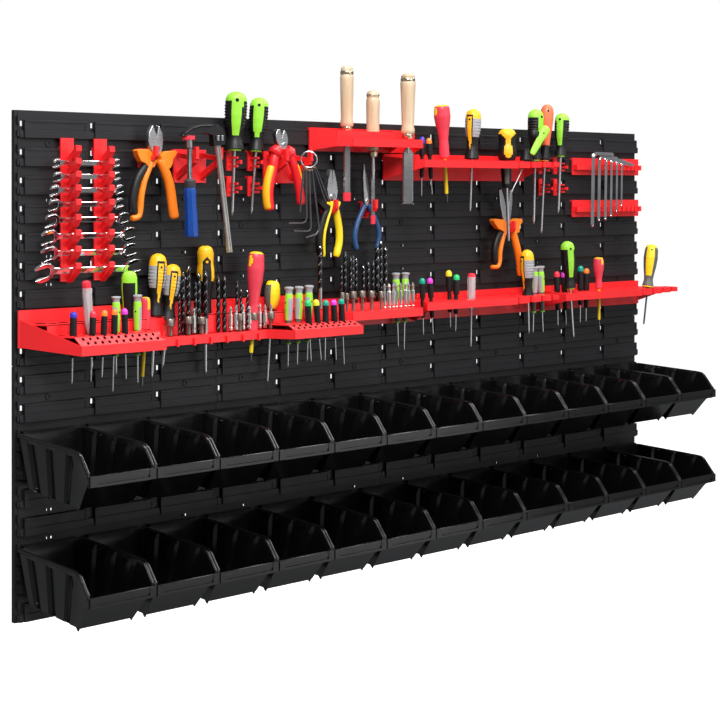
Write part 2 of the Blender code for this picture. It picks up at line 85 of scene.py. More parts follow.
def plastic(name, color, rough=0.35, grain=0.12, bump=0.25, scale=900.0, coat=0.0, vary=0.12, spec=0.5):
    """Moulded plastic: slow colour drift, fine texture in bump, uneven gloss."""
    mat, nodes, links, shader = new_material(name)
    coord = nodes.new("ShaderNodeTexCoord")
    slow = noise(nodes, links, coord, 9.0, 4.0)
    fine = noise(nodes, links, coord, scale, 2.0)
    dark = tuple(c * (1 - vary) for c in color)
    lite = tuple(min(1, c * (1 + vary)) for c in color)
    col = ramp(nodes, links, slow.outputs["Fac"], [(0.35, dark), (0.65, lite)])
    links.new(col.outputs["Color"], shader.inputs["Base Color"])
    rr = nodes.new("ShaderNodeMapRange")
    smear = noise(nodes, links, coord, 45.0, 5.0, 0.6)
    rr.inputs["To Min"].default_value = max(0.03, rough - grain * 0.5)
    rr.inputs["To Max"].default_value = rough + grain
    links.new(smear.outputs["Fac"], rr.inputs["Value"])
    links.new(rr.outputs["Result"], shader.inputs["Roughness"])
    bp = nodes.new("ShaderNodeBump")
    bp.inputs["Strength"].default_value = bump
    bp.inputs["Distance"].default_value = 0.0002
    links.new(fine.outputs["Fac"], bp.inputs["Height"])
    links.new(bp.outputs["Normal"], shader.inputs["Normal"])
    shader.inputs["Specular IOR Level"].default_value = spec
    shader.inputs["Coat Weight"].default_value = coat
    shader.inputs["Coat Roughness"].default_value = 0.08
    mat.diffuse_color = (*color, 1)
    return mat


def metal(name, color, rough=0.2, brushed=(60, 60, 900), bump=0.12, grain=0.1):
    mat, nodes, links, shader = new_material(name)
    coord = nodes.new("ShaderNodeTexCoord")
    shader.inputs["Metallic"].default_value = 1.0
    line = noise(nodes, links, coord, 1.0, 3.0, 0.5, brushed)
    slow = noise(nodes, links, coord, 30.0, 4.0)
    dark = tuple(c * 0.78 for c in color)
    col = ramp(nodes, links, slow.outputs["Fac"], [(0.3, dark), (0.7, color)])
    links.new(col.outputs["Color"], shader.inputs["Base Color"])
    rr = nodes.new("ShaderNodeMapRange")
    rr.inputs["To Min"].default_value = max(0.03, rough - grain / 2)
    rr.inputs["To Max"].default_value = rough + grain
    links.new(line.outputs["Fac"], rr.inputs["Value"])
    links.new(rr.outputs["Result"], shader.inputs["Roughness"])
    bp = nodes.new("ShaderNodeBump")
    bp.inputs["Strength"].default_value = bump
    bp.inputs["Distance"].default_value = 0.0001
    links.new(line.outputs["Fac"], bp.inputs["Height"])
    links.new(bp.outputs["Normal"], shader.inputs["Normal"])
    mat.diffuse_color = (*color, 1)
    return mat


def wood(name, pale, deep):
    mat, nodes, links, shader = new_material(name)
    coord = nodes.new("ShaderNodeTexCoord")
    grain = noise(nodes, links, coord, 1.0, 6.0, 0.6, (420, 420, 16))
    broad = noise(nodes, links, coord, 1.0, 3.0, 0.5, (60, 60, 9))
    mix = nodes.new("ShaderNodeMix")
    mix.data_type = "FLOAT"
    mix.inputs["Factor"].default_value = 0.5
    links.new(grain.outputs["Fac"], mix.inputs["A"])
    links.new(broad.outputs["Fac"], mix.inputs["B"])
    col = ramp(nodes, links, mix.outputs["Result"], [(0.30, deep), (0.46, tuple((a + b) / 2 for a, b in zip(pale, deep))), (0.62, pale)])
    links.new(col.outputs["Color"], shader.inputs["Base Color"])
    shader.inputs["Roughness"].default_value = 0.42
    shader.inputs["Coat Weight"].default_value = 0.25
    shader.inputs["Coat Roughness"].default_value = 0.25
    bp = nodes.new("ShaderNodeBump")
    bp.inputs["Strength"].default_value = 0.25
    bp.inputs["Distance"].default_value = 0.0002
    links.new(grain.outputs["Fac"], bp.inputs["Height"])
    links.new(bp.outputs["Normal"], shader.inputs["Normal"])
    return mat


def clear(name, tint):
    mat, nodes, links, shader = new_material(name)
    coord = nodes.new("ShaderNodeTexCoord")
    n = noise(nodes, links, coord, 120.0, 3.0)
    col = ramp(nodes, links, n.outputs["Fac"], [(0.3, tuple(c * 0.86 for c in tint)), (0.7, tint)])
    links.new(col.outputs["Color"], shader.inputs["Base Color"])
    shader.inputs["Roughness"].default_value = 0.08
    shader.inputs["Transmission Weight"].default_value = 0.55
    shader.inputs["IOR"].default_value = 1.45
    return mat


M = {
    "panel": plastic("panel_charcoal", (0.0115, 0.0112, 0.0128), 0.40, 0.14, 0.4, 1400, vary=0.14, spec=0.32),
    "bin": plastic("bin_black", (0.0035, 0.0035, 0.0037), 0.17, 0.12, 0.2, 900, vary=0.2, spec=0.42),
    "red": plastic("holder_red", (0.84, 0.018, 0.022), 0.33, 0.14, 0.3, 1100, vary=0.06),
    "black": plastic("tool_black", (0.006, 0.006, 0.0065), 0.40, 0.18, 0.5, 1600, spec=0.35),
    "black_gloss": plastic("tool_black_gloss", (0.008, 0.008, 0.009), 0.2, 0.12, 0.2, 900),
    "charcoal_rubber": plastic("tool_charcoal_rubber", (0.030, 0.030, 0.033), 0.55, 0.2, 0.8, 1800),
    "green": plastic("tool_green", (0.30, 0.72, 0.04), 0.4, 0.14, 0.5, 1500, vary=0.06),
    "yellow": plastic("tool_yellow", (0.95, 0.50, 0.01), 0.36, 0.14, 0.4, 1500, vary=0.06),
    "lemon": plastic("tool_lemon", (0.92, 0.66, 0.01), 0.36, 0.14, 0.3, 1200, vary=0.05),
    "gold_ribs": plastic("tool_amber", (0.95, 0.44, 0.005), 0.38, 0.14, 0.5, 1500, vary=0.06),
    "grey": plastic("tool_grey", (0.36, 0.365, 0.38), 0.45, 0.16, 0.6, 1600, vary=0.07),
    "grey_dark": plastic("tool_grey_dark", (0.11, 0.11, 0.095), 0.5, 0.16, 0.6, 1600),
    "vde_red": plastic("tool_vde_red", (0.74, 0.045, 0.075), 0.36, 0.14, 0.4, 1300, vary=0.06),
    "scarlet": plastic("tool_scarlet", (0.80, 0.012, 0.018), 0.3, 0.14, 0.3, 1200, vary=0.06),
    "coral": plastic("tool_coral", (0.90, 0.16, 0.06), 0.34, 0.14, 0.3, 1200, vary=0.06),
    "orange": plastic("tool_orange", (0.95, 0.22, 0.008), 0.36, 0.14, 0.5, 1500, vary=0.06),
    "blue": plastic("tool_blue", (0.006, 0.050, 0.26), 0.24, 0.12, 0.25, 1000, vary=0.10),
    "blue_dip": plastic("tool_blue_dip", (0.018, 0.062, 0.17), 0.34, 0.14, 0.4, 900, vary=0.10),
    "white": plastic("tool_white", (0.78, 0.78, 0.80), 0.35, 0.12, 0.2, 1000, vary=0.04),
    "cap_blue": plastic("cap_blue", (0.03, 0.03, 0.42), 0.28, 0.1, 0.2, 900),
    "cap_red": plastic("cap_red", (0.82, 0.035, 0.06), 0.28, 0.1, 0.2, 900),
    "cap_orange": plastic("cap_orange", (0.93, 0.22, 0.03), 0.28, 0.1, 0.2, 900),
    "cap_magenta": plastic("cap_magenta", (0.72, 0.05, 0.60), 0.28, 0.1, 0.2, 900),
    "cap_teal": plastic("cap_teal", (0.0, 0.33, 0.22), 0.28, 0.1, 0.2, 900),
    "cap_green": plastic("cap_green", (0.02, 0.55, 0.16), 0.28, 0.1, 0.2, 900),
    "cap_yellow": plastic("cap_yellow", (0.90, 0.76, 0.04), 0.28, 0.1, 0.2, 900),
    "steel": metal("steel_satin", (0.66, 0.66, 0.67), 0.26),
    # polished chrome for wrenches, pins and keys; also the painted glint bands along the drill flutes
    "chrome_and_drill_glint": metal("chrome_polished", (0.86, 0.86, 0.87), 0.07, (200, 200, 200), 0.05, 0.06),
    "nickel": metal("nickel_hex", (0.62, 0.60, 0.57), 0.27, (900, 900, 60), 0.12, 0.1),
    "steel_dark": metal("steel_blackened", (0.16, 0.16, 0.17), 0.30, (60, 60, 900), 0.2, 0.15),
    "socket": metal("socket_bronze_steel", (0.33, 0.27, 0.23), 0.34, (90, 90, 900), 0.15, 0.12),
    "drill": metal("drill_black_oxide", (0.055, 0.055, 0.058), 0.22, (60, 60, 900), 0.15, 0.12),
    "iron": metal("iron_black", (0.05, 0.05, 0.052), 0.34, (60, 60, 300), 0.3, 0.2),
    "brass": metal("brass_band", (0.72, 0.60, 0.42), 0.22, (60, 60, 900), 0.1, 0.1),
    "beech": wood("beech_handle", (0.68, 0.53, 0.36), (0.44, 0.27, 0.14)),
    # painted shade: dark discs that stand in for the shade inside the tray's holes
    "hole": plastic("hole_shadow", (0.012, 0.001, 0.001), 0.8, 0.1, 0.2, 900, spec=0.05),
    "clear": clear("clear_plastic", (0.88, 0.86, 0.87)),
}


# ------------------------------------------------------------- mesh machinery
class Shape:
    """Gathers closed bodies in millimetres and becomes one piece."""

    def __init__(self, name):
        self.name = name
        self.verts, self.faces, self.slots, self.names = [], [], [], []
        self.move = Matrix.Identity(4)

    def slot(self, mat):
        if mat not in self.names:
            self.names.append(mat)
        return self.names.index(mat)

    def add(self, verts, faces, mats):
        base = len(self.verts)
        self.verts += [tuple(self.move @ Vector(v)) for v in verts]
        if isinstance(mats, str):
            mats = [mats] * len(faces)
        for f, m in zip(faces, mats):
            self.faces.append(tuple(base + i for i in f))
            self.slots.append(self.slot(m))

    def loft(self, rings, mat, face_mat=None, caps=True):
        n = len(rings[0])
        verts = [p for ring in rings for p in ring]
        faces, mats = [], []
        for k in range(len(rings) - 1):
            for i in range(n):
                j = (i + 1) % n
                faces.append((k * n + i, k * n + j, (k + 1) * n + j, (k + 1) * n + i))
                mats.append(face_mat(k, i) if face_mat else mat)
        if caps:
            faces.append(tuple(range(n)))
            mats.append(face_mat(0, 0) if face_mat else mat)
            faces.append(tuple((len(rings) - 1) * n + i for i in reversed(range(n))))
            mats.append(face_mat(len(rings) - 2, 0) if face_mat else mat)
        self.add(verts, faces, mats)

    def prism(self, points, axis, low, high, mat):
        place = {
            "X": lambda p, t: (t, p[0], p[1]),
            "Y": lambda p, t: (p[0], t, p[1]),
            "Z": lambda p, t: (p[0], p[1], t),
        }[axis]
        self.loft([[place(p, low) for p in points], [place(p, high) for p in points]], mat)

    def box(self, x0, x1, y0, y1, z0, z1, mat):
        self.prism([(x0, y0), (x1, y0), (x1, y1), (x0, y1)], "Z", z0, z1, mat)

    def plate(self, xs, zs, y0, y1, holes, mat):
        """Flat plate between y0 and y1 on a grid, open at the hole rectangles
        (x0, x1, z0, z1)."""
        gx = sorted(set([xs[0], xs[1]] + [v for h in holes for v in h[:2]]))
        gz = sorted(set([zs[0], zs[1]] + [v for h in holes for v in h[2:]]))
        def is_open(i, k):
            if i < 0 or k < 0 or i >= len(gx) - 1 or k >= len(gz) - 1:
                return True
            mx, mz = (gx[i] + gx[i + 1]) / 2, (gz[k] + gz[k + 1]) / 2
            return any(h[0] < mx < h[1] and h[2] < mz < h[3] for h in holes)
        index, verts, faces = {}, [], []
        def vert(i, k, side):
            key = (i, k, side)
            if key not in index:
                index[key] = len(verts)
                verts.append((gx[i], (y0, y1)[side], gz[k]))
            return index[key]
        for i in range(len(gx) - 1):
            for k in range(len(gz) - 1):
                if is_open(i, k):
                    continue
                faces.append((vert(i, k, 0), vert(i + 1, k, 0), vert(i + 1, k + 1, 0), vert(i, k + 1, 0)))
                faces.append((vert(i, k, 1), vert(i, k + 1, 1), vert(i + 1, k + 1, 1), vert(i + 1, k, 1)))
                if is_open(i - 1, k):
                    faces.append((vert(i, k, 0), vert(i, k + 1, 0), vert(i, k + 1, 1), vert(i, k, 1)))
                if is_open(i + 1, k):
                    faces.append((vert(i + 1, k, 0), vert(i + 1, k, 1), vert(i + 1, k + 1, 1), vert(i + 1, k + 1, 0)))
                if is_open(i, k - 1):
                    faces.append((vert(i, k, 0), vert(i, k, 1), vert(i + 1, k, 1), vert(i + 1, k, 0)))
                if is_open(i, k + 1):
                    faces.append((vert(i, k + 1, 0), vert(i + 1, k + 1, 0), vert(i + 1, k + 1, 1), vert(i, k + 1, 1)))
        self.add(verts, faces, mat)

    def grip(self, top, foot, profile, mat, sides=24, face_mat=None, flat=1.0, wave=None):
        """Turned or oval body along the line from top to foot. profile is
        (distance from the top, radius); flat squeezes it across the facing
        direction; wave(k, theta) scales a radius."""
        a, b = Vector(top), Vector(foot)
        w = (b - a).normalized()
        face = Vector((math.cos(FACE), math.sin(FACE), 0))
        u = (face - w * face.dot(w)).normalized()
        v = w.cross(u)
        rings = []
        for k, (t, r) in enumerate(profile):
            ring = []
            for i in range(sides):
                th = 2 * math.pi * i / sides
                rr = r * (wave(k, th) if wave else 1.0)
                ring.append(tuple(a + w * t + u * (rr * flat * math.cos(th)) + v * (rr * math.sin(th))))
            rings.append(ring)
        fm = (lambda k, i: face_mat(profile[k][0], profile[k + 1][0], 2 * math.pi * (i + 0.5) / sides)) if face_mat else None
        self.loft(rings, mat, fm)

    def tube(self, path, radius, mat, sides=10, flat=1.0, up=None, spin=0.0):
        """Bar along a path of points; radius is one number or one per point."""
        pts = [Vector(p) for p in path]
        n = len(pts)
        rad = radius if isinstance(radius, (list, tuple)) else [radius] * n
        ref = Vector(up) if up else None
        rings = []
        prev = None
        for k, p in enumerate(pts):
            d = (pts[min(k + 1, n - 1)] - pts[max(k - 1, 0)]).normalized()
            if prev is None:
                base = ref or (Vector((0, 0, 1)) if abs(d.z) < 0.9 else Vector((1, 0, 0)))
                u = (base - d * base.dot(d)).normalized()
            else:
                base = ref or prev
                u = (base - d * base.dot(d)).normalized()
            prev = u
            v = d.cross(u)
            rings.append([tuple(p + (u * math.cos(2 * math.pi * i / sides + spin) * flat + v * math.sin(2 * math.pi * i / sides + spin)) * rad[k]) for i in range(sides)])
        self.loft(rings, mat)

    def mesh(self, sharp=35.0):
        mesh = bpy.data.meshes.new(self.name)
        mesh.from_pydata([(x * MM, y * MM, z * MM) for x, y, z in self.verts], [], self.faces)
        for m in self.names:
            mesh.materials.append(M[m])
        mesh.polygons.foreach_set("material_index", self.slots)
        bm = bmesh.new()
        bm.from_mesh(mesh)
        bmesh.ops.recalc_face_normals(bm, faces=bm.faces)
        bm.to_mesh(mesh)
        bm.free()
        mesh.shade_smooth()
        mesh.set_sharp_from_angle(angle=math.radians(sharp))
        return mesh

    def build(self, body=WALL, bevel=None, segments=2, replaces=(), slot=None, sharp=35.0):
        obj = place(self.name, self.mesh(sharp), body)
        if bevel:
            add_bevel(obj, bevel, segments)
        if replaces:
            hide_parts(*replaces)
        return obj


def place(name, mesh, body, location=(0, 0, 0)):
    obj = bpy.data.objects.new(name, mesh)
    bpy.context.scene.collection.objects.link(obj)
    obj.location = Vector(location) * MM
    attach(obj, body)
    return obj


def add_bevel(obj, width, segments=2, angle=40.0):
    mod = obj.modifiers.new("edge", "BEVEL")
    mod.width = width * MM
    mod.segments = segments
    mod.limit_method = "ANGLE"
    mod.angle_limit = math.radians(angle)
    mod.harden_normals = True
    mod.use_clamp_overlap = True


def arc(cx, cz, r, a0, a1, n):
    return [(cx + r * math.cos(math.radians(a0 + (a1 - a0) * i / n)), cz + r * math.sin(math.radians(a0 + (a1 - a0) * i / n))) for i in range(n + 1)]


def spline(points, per=6):
    """Smooth line (Catmull-Rom) through points of any dimension."""
    out = []
    n = len(points)
    for k in range(n - 1):
        p0, p1, p2, p3 = points[max(k - 1, 0)], points[k], points[k + 1], points[min(k + 2, n - 1)]
        for i in range(per):
            t = i / per
            out.append(tuple(
                0.5 * (2 * b + (c - a) * t + (2 * a - 5 * b + 4 * c - d) * t * t + (3 * b - a - 3 * c + d) * t ** 3)
                for a, b, c, d in zip(p0, p1, p2, p3)))
    out.append(tuple(points[-1]))
    return out


# -------------------------------------------------------------- wall geometry
lo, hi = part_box("panel_bottom_1")[0] / MM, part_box("panel_top_4")[1] / MM
PANEL_W, PANEL_H = 386.0, 390.0
WALL_L, WALL_TOP = round(lo.x), round(hi.z)
PITCH = PANEL_H / 9
FRONT, BACK = -9.6, -6.6


def lip_top(row):
    return WALL_TOP - PITCH * row - 14.5


def panel_shape(kind, open_rows=range(9)):
    """One louvred panel; x from its left edge, z from its top downwards."""
    sh = Shape(f"panel_{kind}")
    seam = 5.6
    left = 0.2 if kind == "left" else seam
    right = PANEL_W - 0.2 if kind == "right" else PANEL_W + seam - 0.5
    holes = []
    for k in range(9):
        t = -k * PITCH
        for s in range(3 if k in open_rows else 0):
            x = 12.0 + 128.67 * s
            holes.append((x - 2.3, x + 2.3, t - 24.6, t - 16.6))
        if k in (3, 5, 6):
            for x in (58.5, 66.0, 320.0, 327.5):
                holes.append((x - 1.5, x + 1.5, t - 9.6, t - 5.6))
    skin_left = seam if kind == "left" else left
    sh.plate((skin_left, right), (-PANEL_H + 0.3, -0.3), FRONT, BACK, holes, "panel")
    if kind == "left":
        # outer joining flange: a plain strip with slots between small tabs
        sh.box(0.2, 6.4, -8.6, 0, -PANEL_H + 0.3, -0.3, "panel")
        for k in range(9):
            t = -k * PITCH
            sh.box(3.4, 7.2, -13.6, BACK, t - 22.0, t - 9.0, "panel")
            sh.box(3.4, 7.2, -12.2, BACK, t - 41.0, t - 31.0, "panel")
    if kind == "right":
        for k in range(9):
            t = -k * PITCH
            sh.box(right - 1.0, right + 3.2, -13.0, -5.0, t - 41.5, t - 16.0, "panel")
            sh.box(right + 2.8, right + 6.8, -13.0, -5.0, t - 41.5, t - 30.0, "panel")
    for k in range(9):
        t = -k * PITCH
        for s in range(3):
            x0 = 14.4 + 128.67 * s
            x1 = x0 + 114.2
            if s == 2 and kind == "right":
                x1 = PANEL_W - 1.2
            lip_strip(sh, x0, x1, t)
        # plain upper rib that closes the gap between two lips
        sh.prism([(FRONT - 0.2, t - 42.5), (FRONT - 0.2, t - 30.0), (-12.4, t - 31.0), (-13.6, t - 40.6), (-13.4, t - 42.5)], "X", (skin_left if kind != "left" else 7.0) + 0.2, right - 0.2, "panel")
    for x in (60.0, 326.0):
        for k in (1, 4, 7):
            t = -k * PITCH
            boss(sh, x, t - 7.2, 5.4, 2.6)
    # rear: rim, and ribs that carry the slats
    rim = 4.0
    x_l, x_r = 0.4, PANEL_W - 0.4
    for a, b in ((x_l, x_l + rim), (x_r - rim, x_r)):
        sh.box(a, b, BACK - 0.2, 0, -PANEL_H + 0.4, -0.4, "panel")
    for a, b in ((-rim - 0.4, -0.4), (-PANEL_H + 0.4, -PANEL_H + 0.4 + rim)):
        sh.box(x_l + 0.5, x_r - 0.5, BACK - 0.2, -0.05, a, b, "panel")
    for x in (PANEL_W / 6, PANEL_W / 2, PANEL_W * 5 / 6):
        sh.box(x - 1.4, x + 1.4, BACK - 0.2, -0.6, -PANEL_H + 2, -2, "panel")
    for k in range(1, 9):
        sh.box(x_l + 2, x_r - 2, BACK - 0.2, -2.6, -k * PITCH - 1.0, -k * PITCH + 1.0, "panel")
    return sh.mesh(30)


def lip_strip(sh, x0, x1, t):
    """Hook lip: hollow strip with a framed, stepped face."""
    y_in, y_out, y_low = -12.7, -14.9, -16.0
    # upper blade, open behind
    sh.box(x0, x1, y_out, y_in, t - 29.6, t - 14.5, "panel")
    # end webs that tie the blade to the face
    for a, b in ((x0, x0 + 2.2), (x1 - 2.2, x1)):
        sh.box(a, b, y_in - 0.4, FRONT + 0.2, t - 29.6, t - 17.0, "panel")
    # solid foot below the hook channel
    sh.box(x0, x1, y_out + 0.3, FRONT + 0.2, t - 42.3, t - 27.5, "panel")
    # proud lower band and the thin frame round the recessed face
    sh.box(x0 + 0.3, x1 - 0.3, y_low, y_out + 0.5, t - 42.4, t - 30.2, "panel")
    sh.box(x0, x1, y_low + 0.2, y_out + 0.4, t - 18.6, t - 14.7, "panel")
    sh.box(x0, x0 + 6.0, y_low + 0.2, y_out + 0.4, t - 30.6, t - 17.0, "panel")
    sh.box(x1 - 4.0, x1, y_low + 0.2, y_out + 0.4, t - 30.6, t - 17.0, "panel")


def boss(sh, x, z, r_out, r_in, depth=1.6, n=16):
    """Raised ring with a deep screw hole."""
    out = [(x + r_out * math.cos(2 * math.pi * i / n), z + r_out * math.sin(2 * math.pi * i / n)) for i in range(n)]
    inn = [(x + r_in * math.cos(2 * math.pi * i / n), z + r_in * math.sin(2 * math.pi * i / n)) for i in range(n)]
    y1, y0 = FRONT - depth, FRONT + 0.3
    verts = [(p[0], y0, p[1]) for p in out] + [(p[0], y1, p[1]) for p in out] + [(p[0], y1, p[1]) for p in inn] + [(p[0], y0, p[1]) for p in inn]
    faces = []
    for a, b in ((0, 1), (1, 2), (2, 3), (3, 0)):
        for i in range(n):
            j = (i + 1) % n
            faces.append((a * n + i, a * n + j, b * n + j, b * n + i))
    sh.add(verts, faces, "panel")


PANELS = {(kind, "top"): panel_shape(kind) for kind in ("left", "mid", "right")}
PANELS.update({(kind, "bottom"): panel_shape(kind, (0, 1)) for kind in ("left", "mid", "right")})
for label, top in (("top", WALL_TOP), ("bottom", WALL_TOP - PANEL_H)):
    for col in range(4):
        kind = ("left", "mid", "mid", "right")[col]
        piece = place(f"louvred_panel_{label}_{col + 1}", PANELS[kind, label], WALL, (WALL_L + PANEL_W * col, 0, top))
        add_bevel(piece, 0.45, 1, 50)
        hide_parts(f"panel_{label}_{col + 1}")


# ----------------------------------------------------------------------- bins
def bin_shape():
    """Hook-on bin; x across, y forward from the rim's rear edge, z up."""
    sh = Shape("bin")
    half = 59.0
    # rim line in side view with its outward normals
    rim = [(0.0, 0.0), (30, -1.1), (60, -2.1), (90, -3.2), (120, -4.2), (145, -5.1)]
    rim += [(155.5, -5.8), (161.5, -7.4), (166.0, -10.4), (169.2, -14.0), (176, -22.4), (183, -31.1), (190.0, -38.6)]
    floor_l = [(12.0, -83.5), (35, -85.0), (58, -86.5), (81, -87.9), (104, -89.3), (120, -90.4)]
    floor_l += [(126, -90.8), (131, -91.1), (135, -91.3), (139, -91.5), (142.5, -91.7), (145.5, -91.9), (148.5, -92.0)]
    grooves = [(32.0, 12.5), (84.0, 11.5), (138.5, 10.5)]
    # finer sampling, so that the side grooves get clean edges
    stations = []
    for k in range(len(rim) - 1):
        n = 8 if k < 5 else 2
        for i in range(n):
            f = i / n
            stations.append(tuple(rim[k][j] * (1 - f) + rim[k + 1][j] * f for j in (0, 1)) + tuple(floor_l[k][j] * (1 - f) + floor_l[k + 1][j] * f for j in (0, 1)))
    stations.append(rim[-1] + floor_l[-1])
    count = len(stations)

    def normal(k):
        a, b = stations[max(k - 1, 0)], stations[min(k + 1, count - 1)]
        d = Vector((b[0] - a[0], b[1] - a[1])).normalized()
        return (-d.y, d.x)

    def dent(y):
        return max([0.0] + [min(1.0, max(0.0, (w - abs(y - c)) / 1.6)) for c, w in grooves])

    # (share down the wall from rim to floor, offset under the rim, half width, groove depth)
    levels = [
        (1.0, 0.0, 47.6, 0.25), (0.97, 0.0, 48.2, 1.0), (0.5, 2.0, 52.3, 1.0), (0.09, 5.0, 55.7, 1.0), (0.075, 5.0, 55.9, 0.15),
        (0.0, 5.0, 56.4, 0.0), (0.0, 5.0, 58.4, 0.0), (0.0, 4.3, 59.0, 0.0), (0.0, 0.8, 59.0, 0.0), (0.0, 0.25, 58.7, 0.0), (0.0, 0.0, 58.1, 0.0),
        (0.0, 0.0, 55.4, 0.0), (0.0, 0.3, 54.7, 0.0), (0.0, 1.2, 54.3, 0.3), (0.10, 2.0, 53.3, 1.0), (0.5, 0.0, 50.0, 1.0), (0.955, 0.0, 45.8, 1.0), (0.97, 0.0, 45.2, 0.3),
    ]
    rings = []
    for li, (down, under, w, groove) in enumerate(levels):
        inner = li >= 11
        left = []
        for k, (ry, rz, fy, fz) in enumerate(stations):
            n = normal(k)
            if inner:
                fy = 14.2 + (fy - 12.0) * 0.962
                fz = fz + 2.3
            u = under
            last = k == count - 1
            if last and 0.0 < under and not inner and li >= 4:
                u = under * 3.1
            y = ry - n[0] * u if not last else ry - (0.0 if li in (6, 7, 8, 9) else (0.6 if li == 10 else (3.4 if inner else 2.4)))
            z = rz - n[1] * u if not last else rz - u
            if k == 0:
                y = max(y, 0.0) + (2.4 if inner else 0.0)
            y = y * (1 - down) + fy * down
            z = z * (1 - down) + fz * down
            dx = 6.0 * groove * dent(ry)
            left.append((-(w - dx), -y, z))
        ring = left + [(-x, y, z) for x, y, z in reversed(left)]
        rings.append(ring)
    sh.loft(rings, "bin")
    # label holder on the front lip: end blocks, top bar, bottom ledge
    z1, z0 = -38.9, -54.4
    for s in (-1, 1):
        sh.box(min(s * 46.5, s * 58.2), max(s * 46.5, s * 58.2), -192.2, -188.8, z0, z1, "bin")
    sh.box(-47, 47, -191.4, -188.9, -47.0, z1 - 0.2, "bin")
    sh.box(-47, 47, -192.2, -188.9, z0 - 0.4, -50.6, "bin")
    sh.box(-58.0, 58.0, -190.4, -184.5, z0 - 0.2, z0 + 1.8, "bin")
    # front stiffening web under the ledge and the little stacking feet
    for s in (-1, 1):
        # looped bumps on the inner wall, each over a thin rib
        for y in (52, 92, 128):
            zr = -y * 0.036 - 3.6
            sh.tube([(s * 54.2, -(y - 6), zr), (s * 51.2, -(y - 4), zr - 0.6), (s * 50.4, -y, zr - 1.0), (s * 51.2, -(y + 4), zr - 0.6), (s * 54.2, -(y + 6), zr)], 1.0, "bin", 8)
            sh.tube([(s * 51.6, -y, zr - 1.0), (s * 50.0, -y, zr - 34)], 0.7, "bin", 8)
        for y, w, h in ((143.5, 4.5, 4.6), (62.0, 5.0, 2.4)):
            zz = -84.3 - y * 0.052
            sh.prism([(-y + w, zz + 1.5), (-y - w, zz + 1.0), (-y - w * 0.35, zz - h), (-y + w * 0.1, zz - h * 0.7)], "X", s * 47.0 - 1.2, s * 47.0 + 1.2, "bin")
    # floor underside ribs
    for x in (-28, 0, 28):
        sh.prism([(-20, -84.0), (-140, -91.0), (-138, -93.0), (-22, -86.2)], "X", x - 0.9, x + 0.9, "bin")
    # back: spine and the hook rail that drops behind the wall's lip
    sh.box(-50, 50, -0.9, 2.6, -3.6, 2.6, "bin")
    sh.box(-48, 48, 2.2, 9.2, 0.45, 2.75, "bin")
    sh.box(-48, 48, 7.2, 9.3, -8.9, 2.7, "bin")
    for x in (-36, 36):
        sh.box(x - 1.2, x + 1.2, -0.6, 2.6, -60, -3.0, "bin")
    return sh.mesh(32)


BIN = bin_shape()
BIN_Y = -19.4
for label, row in (("upper", 11), ("lower", 15)):
    for k in range(13):
        node = f"bin_{label}_{k + 1:02d}"
        b0, b1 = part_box(node)
        piece = place(f"open_bin_{label}_{k + 1:02d}", BIN, node, ((b0.x + b1.x) / 2 / MM, BIN_Y, lip_top(row)))
        add_bevel(piece, 0.5, 2, 50)
        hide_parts(node)

# ------------------------------------------------------- red holders from CAD
for name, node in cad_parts.items():
    if name.startswith(("panel_", "bin_")):
        continue
    node.data.materials.clear()
    node.data.materials.append(M["red"] if not name.startswith("chisel_l") and not name.startswith("chisel_w") else M["beech"])
    if name.startswith(("chisel_l", "chisel_w")):
        continue
    add_bevel(node, 0.6, 2, 35)

# stepped decks inside the wide tray; their holes are dark discs of painted shade, not openings
sh = Shape("tray_left_decks")
for outline, low, high in (
    ([(-767, -18), (-556, -18), (-556, -54), (-743, -54)], 62.6, 65.0),
    ([(-744, -52), (-556, -52), (-556, -92), (-718, -92)], 45.4, 47.6),
    ([(-556.5, -18), (-308, -18), (-308, -42), (-556.5, -42)], 62.6, 65.0),
    ([(-310, -18), (-190, -18), (-168, -54), (-310, -54)], 59.6, 62.0),
    ([(-302, -52), (-166, -52), (-139, -92), (-290, -92)], 40.4, 42.6),
):
    sh.prism(outline, "Z", low, high, "red")
sh.prism([(-742, -54), (-556, -54), (-556, -52), (-742, -52)], "Z", 46.5, 64.8, "red")
sh.prism([(-557, -42), (-308, -42), (-308, -40), (-557, -40)], "Z", 33, 64.8, "red")
sh.prism([(-310, -54), (-169, -54), (-169, -52), (-310, -52)], "Z", 41.5, 61.8, "red")
sh.prism([(-558, -41), (-555.6, -41), (-555.6, -100), (-558, -100)], "Z", 33, 47.4, "red")
for x0, x1, x2, x3, top in ((-718, -556, -712.5, -554, 47.4), (-290, -140, -286, -130, 42.4)):
    sh.loft([[(x0, -91, top), (x1, -91, top), (x1, -91, top - 2.4), (x0, -91, top - 2.4)], [(x2, -101.6, 33.6), (x3, -101.6, 33.6), (x3, -101.6, 31.4), (x2, -101.6, 31.4)]], "red")
# round holes on the decks: dark discs of painted shade set into the deck tops
for x, y, z, r in [(-738, -30, 65.0, 9), (-726, -44, 65.0, 7)] + [(-700 + 30 * i, -34, 65.0, 8.5) for i in range(5)] + [(-722 + 23 * i, -62, 47.6, 6.5) for i in range(8)] + [(-712 + 13 * i, -86, 47.6, 3.2) for i in range(12)] + [(-290 + 24 * i, -62, 42.6, 6.5) for i in range(6)] + [(-280 + 12 * i, -87, 42.6, 3.2) for i in range(11)] + [(-300 + 26 * i, -34, 62.0, 8) for i in range(5)]:
    sh.tube([(x, y, z - 1.0), (x, y, z + 0.25)], r, "hole", 20)
# two rows of small holes in the sloped front of each wing, drawn as dark discs of painted shade
for x0, x1, top in ((-704, -562, 47.4), (-280, -140, 42.4)):
    for f, shift in ((0.28, 0.0), (0.72, 6.0)):
        x = x0 + shift
        while x < x1:
            y, z = -91 - 10.6 * f, top - (top - 33.6) * f
            sh.tube([(x, y + 0.8, z - 0.6), (x, y - 0.28, z + 0.22)], 2.7, "hole", 16)
            x += 13.0
sh.build(bevel=0.5)

